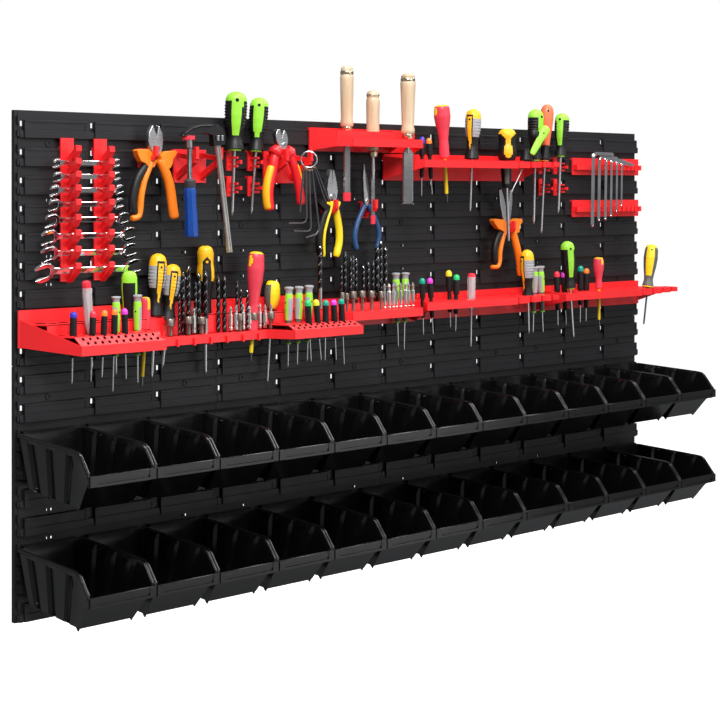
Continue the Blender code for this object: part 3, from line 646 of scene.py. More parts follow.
# ---------------------------------------------------------------- tool makers
class Hand(Shape):
    """A tool made along one straight line, described by heights on it."""

    def __init__(self, name, y, x0, z0, x1, z1):
        super().__init__(name)
        self.a, self.b, self.z0 = Vector((x0, y, z0)), Vector((x1, y, z1)), z0
        self.k = (self.b - self.a).length / (z0 - z1)

    def turn(self, profile, mat, face_mat=None, **kw):
        fm = None
        if face_mat:
            fm = lambda t0, t1, th: face_mat(self.z0 - (t0 + t1) / 2 / self.k, th if th <= math.pi else th - 2 * math.pi)
        self.grip(self.a, self.b, [((self.z0 - z) * self.k, r) for z, r in profile], mat, face_mat=fm, **kw)

    def dot(self, z, theta, radius, size, mat, deep=1.0):
        """A small round button on the surface, radius out from the line."""
        w = (self.b - self.a).normalized()
        face = Vector((math.cos(FACE), math.sin(FACE), 0))
        u = (face - w * face.dot(w)).normalized()
        v = w.cross(u)
        d = u * math.cos(theta) + v * math.sin(theta)
        p = self.a + w * ((self.z0 - z) * self.k)
        self.tube([p + d * (radius - deep), p + d * (radius + 0.3)], size, mat, 12)

    def shaft(self, z0, z1, r, mat="steel", end="cross", sides=12):
        if end == "cross":
            prof = [(z0, r), (z1 + 5.5 * r / 2, r), (z1 + 1.6 * r, r * 0.75), (z1, r * 0.25)]
        elif end == "ball":
            prof = [(z0, r), (z1 + 3.2 * r, r), (z1 + 2.4 * r, r * 0.65), (z1 + 1.6 * r, r * 1.05), (z1 + 0.6 * r, r * 0.9), (z1, r * 0.4)]
        else:
            prof = [(z0, r), (z1 + 3 * r, r), (z1, r * 0.72)]
        self.turn(prof, mat, sides=sides)


def levels(z0, length, rows):
    return [(z0 - length * f, r) for f, r in rows]


def fine(rows, step):
    """Adds in-between rings so that ribs and colour borders come out clean."""
    out = []
    for (z0, r0), (z1, r1) in zip(rows, rows[1:]):
        n = max(1, int(round(abs(z0 - z1) / step)))
        out += [(z0 + (z1 - z0) * i / n, r0 + (r1 - r0) * i / n) for i in range(n)]
    return out + [rows[-1]]


def green_black(name, y, xs, zs, dia, shaft_r=3.0, turn=0.0):
    """Large driver: green dome and panel, ribbed black sides, flared foot."""
    sh = Hand(name, y, xs[0], zs[0], xs[-1], zs[-1])
    top, foot, tip = zs[0], zs[2], zs[-1]
    L, R = top - foot, dia / 2
    rows = levels(top, L, [(0, R * 0.22), (0.02, R * 0.55), (0.055, R * 0.80), (0.11, R * 0.95), (0.18, R), (0.40, R * 0.98), (0.56, R * 0.86), (0.68, R * 0.70), (0.76, R * 0.62), (0.82, R * 0.66), (0.90, R * 0.80), (0.965, R * 0.88)])
    rows = fine(rows, 1.7)
    panel_end = top - L * 0.74

    def paint(z, th):
        if z > top - L * 0.16:
            return "green"
        half = 0.62 - 0.20 * (top - z) / L
        if z > panel_end and (abs(th - turn) < half or abs(th - turn) > math.pi - half):
            return "green"
        return "black"

    def ribs(k, th):
        z = rows[k][0]
        side = abs(math.sin(th - turn)) > 0.66
        if side and top - L * 0.66 < z < top - L * 0.2:
            return 1.045 if k % 3 else 0.965
        return 1.0

    sh.turn(rows, "black", face_mat=paint, sides=32, wave=ribs, flat=0.94)
    sh.turn([(foot + L * 0.036, R * 0.62), (foot + 0.2, R * 0.62)], "green", sides=28)
    sh.turn([(foot + L * 0.05, R * 0.80), (foot + L * 0.028, R * 0.74)], "black", sides=28)
    sh.dot(top - L * 0.15, turn, R * 0.95, R * 0.17, "black_gloss")
    sh.shaft(foot + 2, tip, shaft_r, "steel")
    return sh.build(sharp=32)


def yellow_grey(name, y, xs, zs, dia, shaft_r=3.0, turn=-0.55, side="left", end="cross"):
    """Large driver: yellow dome and drop inlay, pale grey ribbed flank."""
    sh = Hand(name, y, xs[0], zs[0], xs[-1], zs[-1])
    top, mid, foot, tip = zs[0], zs[1], zs[2], zs[-1]
    L, R = top - foot, dia / 2
    rows = levels(top, L, [(0, R * 0.22), (0.02, R * 0.52), (0.055, R * 0.78), (0.12, R * 0.94), (0.20, R), (0.40, R * 0.99), (0.50, R * 0.88), (0.64, R * 0.70), (0.74, R * 0.66), (0.84, R * 0.74), (0.93, R * 0.88), (0.985, R * 0.96), (1.0, R * 0.9)])
    rows = fine(rows, 1.8)
    s = 1 if side == "left" else -1

    def paint(z, th):
        f = (top - z) / L
        off = abs(th - turn)
        drop = 0.30 * (1.0 if f < 0.55 else max(0.0, 1.0 - ((f - 0.55) / 0.27) ** 2))
        if 0.16 < f < 0.82 and off < drop:
            return "yellow"
        if 0.12 < f < 0.86 and off < drop + 0.17:
            return "black"
        if f < 0.2:
            return "yellow"
        if f < 0.56 and (off > 0.45):
            return "grey"
        return "black"

    def ribs(k, th):
        f = (top - rows[k][0]) / L
        off = abs(th - turn)
        if 0.24 < f < 0.52 and off > 0.7:
            return 1.02 if k % 3 else 0.97
        return 1.0

    sh.turn(rows, "black", face_mat=paint, sides=40, wave=ribs)
    sh.dot(top - L * 0.22, turn, R * 0.98, R * 0.13, "black_gloss")
    sh.shaft(foot + 1, tip, shaft_r, "steel", end)
    return sh.build(sharp=32)


def insulated(name, y, xs, zs, dia, shaft_r=3.4, mark=0.45):
    """Insulated driver: red grip, yellow crown and badge, yellow sleeve."""
    sh = Hand(name, y, xs[0], zs[0], xs[-1], zs[-1])
    top, mid, foot, sleeve, tip = zs
    L, R = top - mid, dia / 2
    rows = [(top, R * 0.3), (top - 0.02 * L, R * 0.66), (top - 0.06 * L, R * 0.84), (top - 0.14 * L, R * 0.93), (top - 0.45 * L, R), (top - 0.72 * L, R * 0.90), (mid, R * 0.72), (mid - (mid - foot) * 0.35, R * 0.56), (mid - (mid - foot) * 0.7, R * 0.60), (foot, R * 0.62), (foot - 2, R * 0.5)]
    rows = fine(rows, 2.2)

    def paint(z, th):
        if z > top - 0.055 * L:
            return "yellow"
        zc = (z - (top - 0.24 * L)) / (0.16 * L)
        if abs(th - mark) < 0.30 and (abs(th - mark) / 0.30) ** 2 + zc * zc < 1:
            return "lemon"
        return "vde_red"

    sh.turn(rows, "vde_red", face_mat=paint, sides=32)
    sh.turn([(foot, shaft_r * 1.15), (sleeve, shaft_r)], "lemon", sides=14)
    sh.shaft(sleeve + 1, tip, shaft_r * 0.62, "steel_dark", "flat")
    return sh.build(sharp=34)


def precision(name, y, xs, zs, cap, dia=10.0):
    sh = Hand(name, y, xs[0], zs[0], xs[-1], zs[-1])
    top, cap_low, body_low, start, tip = zs
    r = dia / 2
    h = top - cap_low
    sh.turn([(top, r * 0.3), (top - h * 0.12, r * 0.66), (top - h * 0.34, r * 0.92), (top - h * 0.6, r), (cap_low, r)], cap, sides=20)
    rows = fine([(cap_low + 0.4, r * 0.93), (cap_low - 1, r * 0.98), (body_low + 1.5, r * 0.98), (body_low, r * 0.9)], 6)
    sh.turn(rows, "black", sides=32, wave=lambda k, th: 1.0 if int(th / (math.pi / 16)) % 2 else 0.955)
    drop = body_low - start
    sh.turn([(body_low + 0.4, r * 0.62), (body_low - drop * 0.45, r * 0.62), (body_low - drop * 0.55, r * 0.78), (start + 3, r * 0.72), (start, r * 0.4)], "black", sides=18)
    sh.shaft(start + 1, tip, 1.25, "steel", "flat")
    return sh.build(sharp=34)


def grey_green(name, y, xs, zs, dia=15.0, lean=-0.9, tail=True):
    sh = Hand(name, y, xs[0], zs[0], xs[-1], zs[-1])
    top, cap_low, foot = zs[0], zs[1], zs[2]
    r = dia / 2
    h = top - cap_low
    sh.turn([(top, r * 0.5), (top - 0.6, r * 0.94), (top - h * 0.25, r), (top - h * 0.55, r * 0.74), (cap_low, r * 0.72)], "grey", sides=24)
    L = cap_low - foot
    rows = fine([(cap_low + 0.4, r * 0.70), (cap_low - 1.5, r * 0.80), (cap_low - L * 0.25, r * 0.90), (cap_low - L * 0.6, r * 0.88), (foot, r * 0.76)], 3.0)

    def paint(z, th):
        if z > cap_low - L * 0.16:
            return "green"
        return "green" if abs(th - lean) < 0.75 or abs(th - lean) > 2.6 else "grey"

    sh.turn(rows, "grey", face_mat=paint, sides=28)
    sh.dot(cap_low - L * 0.34, lean + 0.1, r * 0.90, r * 0.17, "black_gloss")
    if tail:
        start, tip = zs[3], zs[4]
        sh.turn([(foot + 0.4, r * 0.66), (start + 5, r * 0.56), (start + 2.5, r * 0.50)], "grey_dark", sides=22)
        sh.turn([(start + 3, r * 0.56), (start + 2.2, r * 0.62), (start + 0.4, r * 0.60), (start - 0.4, r * 0.42)], "green", sides=22)
        sh.shaft(start, tip, 1.5, "steel")
    return sh.build(sharp=34)


def tester(name, y, xs, zs, dia):
    sh = Hand(name, y, xs[0], zs[0], xs[-1], zs[-1])
    top, cap_low, foot, tip = zs[0], zs[1], zs[2], zs[-1]
    r = dia / 2
    sh.turn([(top, r * 0.55), (top - 2, r * 0.9), (top - 7, r * 0.98), (cap_low + 3, r * 0.8), (cap_low, r * 0.5)], "cap_red", sides=8)
    sh.turn([(cap_low + 6, r * 0.99), (cap_low, r), (foot, r * 0.92), (foot - 10, r * 0.62), (foot - 16, r * 0.5)], "clear", sides=8)
    sh.turn([(cap_low + 2, r * 0.42), (foot - 4, r * 0.42)], "steel", sides=12)
    sh.shaft(foot - 8, tip, 2.0, "steel", "flat")
    return sh.build(sharp=30)


# ---------------------------------------------------------------- the drivers
for args in (
    ("driver_green_black_1", -30, (-353, -352, -355, -363), (433, 361, 334, 226), 37, 2.9, -0.12),
    ("driver_green_black_2", -30, (-302, -304, -306, -321), (425, 362, 333, 228), 32, 2.7),
    ("driver_green_black_3", -34, (498, 498, 494, 484), (424, 370, 336, 222), 29, 3.0, 0.5),
    ("driver_green_black_4", -62, (478, 481, 487, 498), (166, 96, 70, -31), 28, 2.7, -0.3),
    ("driver_green_black_5", -52, (394, 395, 396, 387), (428, 375, 326, 202), 31, 2.7, -0.75),
):
    green_black(*args)

for name, y, xs, zs, dia, r, turn in (
    ("driver_yellow_grey_1", -30, (-516, -519, -530), (166, 117, 66, -37), 29.5, 2.9, -0.50),
    ("driver_yellow_grey_2", -36, (-490, -497, -513), (148, 102, 58, -19), 28, 2.7, -0.35),
    ("driver_yellow_grey_3", -62, (355, 354, 360), (152, 109, 53, -13), 27, 2.4, 1.15),
    ("driver_yellow_grey_4", -56, (207, 204, 197), (422, 373, 327, 228), 30, 2.6, 0.6),
):
    yellow_grey(name, y, xs, zs if len(zs) == 4 else zs, dia, r, turn)

insulated("driver_insulated_1", -56, (119, 123, 126, 132, 134), (427, 380, 330, 262, 246), 31, 3.4, 1.1)
insulated("driver_insulated_2", -50, (-326, -325, -327, -337, -339), (165, 100, 33, -4, -18), 29, 3.4, 0.75)
insulated("driver_insulated_3", -62, (579, 580, 580, 581, 581), (131, 95, 69, 4, -12), 22, 2.8, -0.6)
sh = Hand("driver_insulated_4", -44, -552, 98, -552, 30)
sh.turn(fine([(98, 3), (97, 6), (94, 7.6), (88, 8), (60, 8), (48, 6.4), (30, 5)], 3), "vde_red", face_mat=lambda z, th: "yellow" if z > 95.5 or (abs(th + 0.95) < 0.3 and z > 80) else "vde_red", sides=24)
sh.tube([(-553, -44, 34), (-558, -44, -28)], 2.9, "lemon", 12)
sh.tube([(-558, -44, -26), (-559, -44, -42)], 1.7, "steel_dark", 10)
sh.build()

for name, y, xs, zs, cap, dia in (
    ("precision_blue_1", -74, (-708, -708, -708, -709, -711), (84, 75, 44, 14, -24), "cap_blue", 11),
    ("precision_red_1", -88, (-682, -683, -684, -685, -686), (85, 75, 47, 15, -21), "cap_red", 10),
    ("precision_orange_1", -88, (-661, -662, -663, -664, -666), (85, 76, 46, 14, -17), "cap_orange", 10),
    ("precision_orange_2", -88, (-642, -643, -644, -645, -646), (86, 77, 46, 14, -40), "cap_orange", 10),
    ("precision_magenta_1", -88, (-624, -624, -623, -622, -621), (86, 77, 46, 15, -23), "cap_magenta", 10),
    ("precision_green_1", -88, (-245, -245, -244, -239, -237), (82, 72, 40, 16, -22), "cap_green", 11),
    ("precision_yellow_1", -88, (-226, -224, -221, -217, -214), (82, 72, 40, 15, -22), "cap_yellow", 11),
    ("precision_teal_1", -88, (-203, -203, -204, -204, -205), (80, 71, 40, 16, -23), "cap_teal", 11),
    ("precision_magenta_2", -88, (-185, -184, -182, -180, -179), (80, 71, 40, 14, -24), "cap_magenta", 11),
    ("precision_teal_2", -88, (-167, -166, -164, -161, -160), (81, 72, 40, 15, -33), "cap_teal", 11),
    ("precision_teal_3", -62, (61, 61, 62, 63, 64), (107, 97, 71, 34, 4), "cap_teal", 11),
    ("precision_magenta_3", -62, (81, 83, 85, 87, 90), (107, 97, 70, 33, 3), "cap_magenta", 11),
    ("precision_yellow_2", -45, (150, 151, 153, 154, 155), (118, 107, 79, 39, 11), "cap_yellow", 12),
    ("precision_green_2", -55, (161, 160, 160, 159, 158), (110, 100, 73, 36, 4), "cap_green", 12),
    ("precision_red_2", -50, (461, 462, 462, 463, 464), (106, 95, 65, 28, -2), "cap_red", 12),
    ("precision_magenta_4", -50, (482, 484, 486, 488, 490), (104, 94, 64, 27, -3), "cap_magenta", 12),
    ("precision_teal_4", -40, (549, 549, 548, 548, 547), (114, 103, 65, 34, -1), "cap_teal", 12.5),
    ("precision_orange_3", -40, (568, 568, 567, 567, 566), (108, 98, 62, 27, 0), "cap_orange", 12.5),
    ("precision_blue_2", -62, (61, 61, 60, 60, 59), (366, 354, 331, 291, 258), "cap_blue", 10.5),
    ("precision_orange_4", -62, (78, 80, 82, 85, 87), (364, 354, 331, 289, 261), "cap_orange", 11),
):
    precision(name, y, xs, zs, cap, dia)

for name, y, xs, zs, dia, lean in (
    ("driver_grey_green_1", -60, (-620, -620), (103, 94, 48, 10, -20), 15, -1.1),
    ("driver_grey_green_2", -60, (-579, -579), (104, 93, 48, 8, -37), 15, 0.35),
    ("driver_grey_green_3", -60, (-262, -265), (104, 92, 47, 6, -34), 16, 0.9),
    ("driver_grey_green_4", -60, (-239, -244), (104, 92, 48, 7, -32), 15.5, -1.0),
    ("driver_grey_green_5", -60, (-216, -221), (105, 92, 48, 7, -27), 16, -0.9),
    ("driver_grey_green_6", -30, (25, 31), (117, 105, 70, 25, -21), 16, -0.8),
    ("driver_grey_green_7", -30, (50, 46), (117, 105, 70, 25, -28), 16, 0.2),
    ("driver_grey_green_8", -45, (398, 393), (117, 107, 66, 26, -14), 17.5, 1.2),
    ("driver_grey_green_9", -45, (415, 424), (118, 107, 66, 26, -16), 17.5, -1.0),
):
    grey_green(name, y, xs, zs, dia, lean)

tester("voltage_tester_1", -60, (-676, -665), (129, 112, 62, -4), 15)
tester("voltage_tester_2", -55, (203, 200), (111, 98, 58, -27), 16)

# green cutter handle with a ribbed black middle
sh = Hand("cutter_green", -36, -578, 140, -577, 50)
sh.turn(fine([(140, 4), (138.5, 8), (135, 11), (129, 12.6), (110, 12.8), (80, 10.8), (60, 8.2), (50, 7)], 2), "green", sides=28, flat=0.7,
        face_mat=lambda z, th: "black" if z < 122 and abs(th) < 0.95 else "green", wave=lambda k, th: (0.96 if k % 2 else 1.0) if abs(math.sin(th)) < 0.7 else 1.0)
sh.build()

# big yellow stubby driver with a black inset
sh = Hand("driver_yellow_stubby_1", -28, -418, 176, -418, -39)
sh.turn(fine([(176, 5), (174, 9.5), (170, 12.4), (163, 13.8), (154, 13.6), (146, 13.2), (136, 14.6), (124, 15.0), (112, 13.0), (96, 10.4), (80, 9.6), (60, 11), (40, 9.5), (26, 8), (14, 7)], 2), "yellow", sides=40,
        face_mat=lambda z, th: "black" if (z < 118 and abs(th) < 2.2) or (z < 158 - 7 * abs(th + 0.25) * 2 and abs(th + 0.25) < 0.55) or z < 96 else "yellow")
sh.dot(150, -0.25, 13.3, 2.4, "yellow", 0.6)
sh.shaft(16, -39, 3.0)
sh.build()

# black stubby driver with a yellow crown and waisted inlay
sh = Hand("driver_yellow_stubby_2", -56, 303, 386, 303, 326)
def stub_paint(z, th):
    if z > 377:
        return "yellow"
    if z > 368:
        w = 0.30 + (z - 368) * 0.07
    elif z > 356:
        w = 0.34
    else:
        w = 0.50 * math.sqrt(max(0.0, 1 - ((z - 346) / 15.5) ** 2)) if z < 350 else 0.34 + 0.13 * (356 - z) / 6
    return "yellow" if abs(th - 0.0) < w and z > 331 else "black"
sh.turn(fine([(387, 5), (386, 10), (383, 14.5), (378, 16.8), (372, 17.2), (364, 16.0), (357, 15.8), (348, 17.8), (340, 18.4), (332, 17.4), (326, 15)], 1.5), "black", sides=40, face_mat=stub_paint)
sh.build()

# grey and yellow driver at the far right end
sh = Hand("driver_yellow_grey_5", -75, 743, 154, 714, -12)
def far_paint(z, th):
    if z > 147 or z < 68:
        return "lemon"
    if z > 88 and abs(th - 0.35) < 0.62:
        return "lemon"
    return "grey_dark"
sh.turn(fine([(154, 4), (152.5, 8.5), (149, 11.6), (142, 13.6), (126, 14.6), (108, 13.0), (92, 10.4), (82, 9.2), (76, 10.0), (69, 11.6), (65, 11.2)], 1.8), "grey_dark", sides=40, face_mat=far_paint)
sh.dot(142, 0.2, 13.6, 1.7, "black_gloss", 0.6)
sh.shaft(66, -12, 1.9, "steel_dark", "flat")
sh.build()

# round yellow and grey knob of a ratchet driver
sh = Hand("ratchet_knob", -28, -271, 113, -284, -63)
sh.turn(fine([(113, 5), (111.5, 9), (108, 11.5), (100, 13.2), (90, 14.0), (80, 13.0), (72, 11.2), (66, 8)], 2), "lemon", sides=32,
        face_mat=lambda z, th: "grey_dark" if th > 0.15 and z < 107 else "lemon")
sh.turn([(67, 5), (30, 5), (20, 4)], "black", sides=16)
sh.shaft(24, -63, 2.4)
sh.build()

# folding knife hung with its tail up, and the coral driver beside it
sh = Hand("folding_knife", -76, 398, 393, 353, 338)
sh.turn(fine([(393, 4), (391, 8), (386, 10), (378, 9.5), (366, 7.4), (350, 6.6), (341, 6), (338, 4)], 2.5), "green", sides=28, flat=0.6,
        face_mat=lambda z, th: "black" if abs(abs(th) - math.pi) < 0.9 else "green")
sh.dot(378, 0.0, 6.0, 1.7, "black_gloss", 1.4)
sh.build()
sh = Hand("folding_knife_guard", -70, 372, 386, 366, 372)
sh.turn(fine([(386, 4), (384, 8), (378, 8.5), (373, 6), (372, 4)], 3), "black", sides=24, flat=0.6)
sh.build()
sh = Hand("driver_black_short", -62, 352, 350, 352, 326)
sh.turn([(350, 5), (348, 9), (340, 9.5), (328, 12.5), (326, 11)], "black", sides=28)
sh.build()
sh = Hand("driver_coral", -45, 438, 439, 418, 183)
sh.turn(fine([(439, 4), (437, 8), (432, 11), (424, 12.8), (410, 13), (392, 11.6), (372, 9.4), (356, 8.0)], 2), "coral", sides=32, flat=0.85,
        face_mat=lambda z, th: "coral" if abs(th) < 1.25 or z > 430 else "black")
sh.turn([(358, 7.4), (346, 8.6), (334, 11), (330, 11), (328, 9)], "black", sides=28)
sh.turn([(329, 8.4), (326, 8.4)], "orange", sides=28)
sh.dot(426, 0, 11.0, 2.2, "black_gloss", 0.8)
sh.shaft(330, 183, 2.5)
sh.build()

# slotted driver hanging in front, its grip behind the bar
sh = Hand("driver_slotted", -66, 288, 322, 296, 171)
sh.turn(fine([(322, 10), (310, 10.6), (290, 9.6), (278, 8.4), (273, 6.4)], 3), "black", sides=28, face_mat=lambda z, th: "grey_dark" if abs(th) < 0.45 and z > 280 else "black")
sh.turn([(274, 2.9), (180, 2.9), (171, 2.0)], "steel", sides=14)
sh.build()
sh = Shape("bent_pick")
sh.tube([(352, -60, 322), (345, -60, 311), (318, -60, 275), (311, -60, 264)], [1.3, 1.3, 1.2, 0.8], "steel", 8)
sh.build()


# -------------------------------------------------------------------- chisels
def chisel(name, node, x, y, handle, ring_z, ferrule, blade, turn, tip_guard, body):
    sh = Hand(name, y, x, handle[0][0], x, blade[2])
    sh.turn(fine(handle, 8), "beech", sides=32)
    if ring_z:
        sh.turn([(ring_z[0], ring_z[2] * 0.95), (ring_z[0] - 1, ring_z[2]), (ring_z[1] + 1, ring_z[2]), (ring_z[1], ring_z[2] * 0.95)], "brass", sides=32)
    f0, f1, fr = ferrule
    sh.turn([(f0, fr), (f0 - 1.5, fr * 1.06), (f1 + 3, fr), (f1, fr * 0.86)], "brass", sides=32)
    neck, shoulder, tip, half, thick = blade
    sh.turn([(f1 + 1, 3.2), (neck + 4, 4.2), (neck, 3.4), (shoulder, 3.0)], "steel", sides=16)
    c, s = math.cos(math.radians(turn)), math.sin(math.radians(turn))

    def slab(z_list, mat, extra=0.0):
        rings = []
        for z, hw, back, front in z_list:
            hw, back, front = hw + extra, back + extra, front + extra
            b = min(1.3, hw * 0.3, front)
            ring = [(-hw, back), (hw, back), (hw, -front + b * 1.2), (hw - b * 1.6, -front), (-hw + b * 1.6, -front), (-hw, -front + b * 1.2)]
            rings.append([(x + p * c - q * s, y + p * s + q * c, z) for p, q in ring])
        sh.loft(rings, mat)

    t = thick / 2
    slab([(neck, 2.9, t, t), (neck - 4, 3.4, t, t), (shoulder, half, t, t), (tip + 7, half, t, t), (tip + 0.4, half, t, -t + 0.5)], "steel")
    if tip_guard:
        slab([(tip + 15, half, t, t), (tip + 1, half, t, t), (tip - 0.2, half - 0.6, t, t)], "cap_red", 0.9)
    obj = sh.build(body, replaces=(node,) if node else ())
    return obj


c1, c3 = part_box("chisel_long"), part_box("chisel_wide")
chisel("wood_chisel_long", "chisel_long", (c1[0].x + c1[1].x) / 2 / MM, (c1[0].y + c1[1].y) / 2 / MM,
       [(488.4, 5.5), (487, 8.5), (484, 10.6), (478, 10.6), (476, 9.4), (474, 10.8), (468, 12.0), (440, 11.6), (396, 10.6), (388, 11.8), (383, 11.6), (381, 10.4), (380, 8)],
       (479.5, 473.0, 11.8), (380.8, 372.9, 9.3), (362.0, 345.0, 249.0, 6.0, 3.6), -30, True, "chisel_long")
chisel("wood_chisel_wide", "chisel_wide", (c3[0].x + c3[1].x) / 2 / MM, (c3[0].y + c3[1].y) / 2 / MM,
       [(479, 6.5), (477.6, 9.6), (475, 12.2), (471, 12.2), (469, 11.3), (466, 12.6), (462, 14.0), (430, 12.6), (384, 11.0), (377, 12.6), (372, 12.4), (370, 11), (369, 8)],
       (470.5, 463.5, 13.2), (369.8, 359.9, 9.7), (349.0, 335.0, 241.5, 9.5, 4.0), -36, False, "chisel_wide")
chisel("wood_chisel_narrow", None, -44.5, -41,
       [(447, 6), (445.5, 9), (442, 11.4), (437, 11.6), (435, 10.4), (432, 11.6), (426, 12.2), (400, 11.8), (360, 11.6), (350, 11), (340, 9.6), (338, 7)],
       (440.5, 437.2, 11.9), (338.8, 328, 8.6), (300.0, 288.0, 207.5, 3.4, 3.2), -30, True, WALL)

# ------------------------------------------------------------------- wrenches
def wrench(name, z, left, right, radius, width):
    sh = Shape(name)
    y0, y1 = -34.9, -30.1
    # each wrench leans outwards at the top, as its slots do
    sh.move = Matrix.Translation((0, -32.5, z)) @ Matrix.Rotation(math.radians(33), 4, "X") @ Matrix.Translation((0, 32.5, -z))

    def head(cx, cz, r, ang, lift):
        a = math.radians(ang)
        half = r * 0.52
        start = math.asin(half / r)
        ring = []
        n = 22
        for i in range(n + 1):
            th = a + start + (2 * math.pi - 2 * start) * i / n
            bulge = 1.0 + 0.12 * math.exp(-((i / n) * 7) ** 2) + 0.12 * math.exp(-((1 - i / n) * 7) ** 2)
            ring.append((cx + r * bulge * math.cos(th), cz + r * bulge * math.sin(th)))
        deep = -r * 0.30
        for d, h in ((deep, -half), (deep - r * 0.22, -half * 0.5), (deep - r * 0.22, half * 0.5), (deep, half)):
            ring.append((cx + d * math.cos(a) - h * math.sin(a), cz + d * math.sin(a) + h * math.cos(a)))
        sh.prism(ring, "Y", y0, y1, "chrome_and_drill_glint")

    cl, cr = left + radius * 0.86, right - radius * 0.84
    head(cl, z - radius * 0.12, radius, 200, 0)
    head(cr, z + radius * 0.10, radius * 0.92, 20, 0)
    w = width / 2
    a, b = cl + radius * 0.72, cr - radius * 0.66
    sh.prism([(a, z - w * 1.25), (a + radius * 0.5, z - w), (b - radius * 0.5, z - w), (b, z - w * 1.2), (b, z + w * 1.2), (b - radius * 0.5, z + w), (a + radius * 0.5, z + w), (a, z + w * 1.25)], "Y", y0 + 1.5, y1 - 1.2, "chrome_and_drill_glint")
    for s in (-1, 1):
        sh.tube([(a - 1, (y0 + y1) / 2, z + s * w * 0.98), (a + radius * 0.5, (y0 + y1) / 2, z + s * w * 0.82), (b - radius * 0.5, (y0 + y1) / 2, z + s * w * 0.82), (b + 1, (y0 + y1) / 2, z + s * w * 0.95)], w * 0.30, "chrome_and_drill_glint", 10)
    return sh.build(bevel=0.9, segments=2)


for k, (z, left, right, radius) in enumerate((
    (310, -718, -595, 8.4), (289, -717, -594, 9.2), (268, -723, -588, 10.2), (246, -725, -588, 11.2),
    (222, -731, -578, 13.0), (197, -737, -566, 14.6), (171, -738, -564, 15.6), (144, -748, -556, 17.4),
)):
    wrench(f"wrench_{k + 1}", z, left, right, radius, 7.6 + 0.35 * k)


# -------------------------------------------------- pliers, cutters and clamp
def flat_part(sh, points, y, thick, mat):
    sh.prism(points, "Y", y - thick / 2, y + thick / 2, mat)


def arm(sh, points, y, radius, mat, flat=1.0, dy=0.0, sides=16):
    line = spline([(p[0], p[1]) for p in points], 5)
    n = len(line)
    rad = [radius * (0.72 if i == 0 or i == n - 1 else (0.93 if i == 1 or i == n - 2 else 1.0)) for i in range(n)]
    sh.tube([(x, y + dy, z) for x, z in line], rad, mat, sides, flat, up=(0, 1, 0))


def joint_pin(sh, x, z, y, r, thick, mat="steel"):
    sh.tube([(x, y - thick / 2, z), (x, y + thick / 2, z)], r, mat, 20)


sh = Shape("side_cutters")
sh.move = Matrix.Translation((10.2, 12, 0))
Y = -50
flat_part(sh, [(-547, 372), (-554, 361), (-556, 348), (-553, 336), (-546, 326), (-539, 321), (-534, 330), (-537, 340), (-535, 348), (-538, 354), (-542, 362)], Y - 1, 9, "steel")
flat_part(sh, [(-533, 372), (-536, 360), (-536, 352), (-540, 342), (-542, 332), (-536, 322), (-531, 326), (-526, 335), (-524, 348), (-526, 360)], Y + 1.5, 9, "steel")
joint_pin(sh, -538, 334, Y, 5.0, 13, "chrome_and_drill_glint")
flat_part(sh, [(-579, 331), (-575, 333), (-556, 333), (-545, 325), (-539, 314), (-545, 304), (-555, 304), (-563, 311), (-570, 313), (-576, 322)], Y, 14, "orange")
flat_part(sh, [(-531, 314), (-531, 324), (-523, 330), (-501, 332), (-499, 327), (-507, 318), (-508, 310), (-514, 302), (-525, 303)], Y, 14, "orange")
arm(sh, [(-552, 312), (-562, 300), (-573, 284), (-580, 262), (-582, 244), (-579, 229)], Y, 7.6, "black", 0.9, 1)
arm(sh, [(-547, 316), (-554, 300), (-562, 282), (-568, 258), (-570, 238), (-574, 226), (-587, 223)], Y, 5.0, "orange", 1.25, -2)
arm(sh, [(-530, 318), (-520, 300), (-511, 280), (-506, 257), (-503, 237), (-500, 222)], Y, 8.2, "orange", 0.95)
arm(sh, [(-517, 306), (-507, 290), (-500, 272), (-496, 252), (-494, 238)], Y, 4.6, "black", 1.2, 3)
sh.build(bevel=1.2)

sh = Shape("bar_clamp")
Y = -72
sh.prism([(-503, 354), (-499, 360), (-488, 367), (-470, 373), (-448, 375), (-432, 374), (-421, 369), (-416, 360), (-416, 342), (-440, 339), (-441, 357), (-456, 360), (-478, 358), (-496, 353)], "Y", Y - 6, Y + 6, "iron")
sh.tube([(-500, Y - 6.3, 358), (-486, Y - 6.3, 366), (-468, Y - 6.3, 371), (-446, Y - 6.3, 372)], 1.8, "iron", 10)
sh.tube([(-433, Y - 7.4, 357), (-433, Y - 7.4, 348)], 3.0, "steel", 12)
sh.tube([(-424, Y - 7.4, 357), (-424, Y - 7.4, 348)], 2.6, "steel", 12)
sh.tube([(-487, Y, 355), (-487, Y, 348.5)], [10.5, 10.2], "cap_red", 24)
sh.tube([(-486, Y, 349), (-485, Y, 336)], [5.4, 4.9], "steel", 20)
n = 66
sh.tube([(-485, Y, 337 - i * 0.86) for i in range(n)], [4.5 if i % 2 else 3.7 for i in range(n)], "steel_dark", 14)
sh.tube([(-484.5, Y, 286), (-484.5, Y, 283), (-484, Y, 274), (-484, Y, 271)], [7.0, 9.4, 9.4, 8.4], "charcoal_rubber", 24)
sh.tube([(-484, Y, 272), (-484, Y, 266), (-483.5, Y, 250), (-482, Y, 228), (-481, Y, 200), (-480.5, Y, 194), (-480.5, Y, 192)], [9.2, 10.4, 9.9, 10.6, 11.6, 11.4, 9.6], "blue", 8, spin=0.39)
for dx in (-2.6, 2.6):
    sh.tube([(-429 + dx, Y, 350), (-402 + dx, Y, 166)], 2.9, "nickel", 10)
sh.tube([(-429, Y, 350), (-402, Y, 167)], 2.2, "nickel", 8)
sh.build(bevel=1.0)

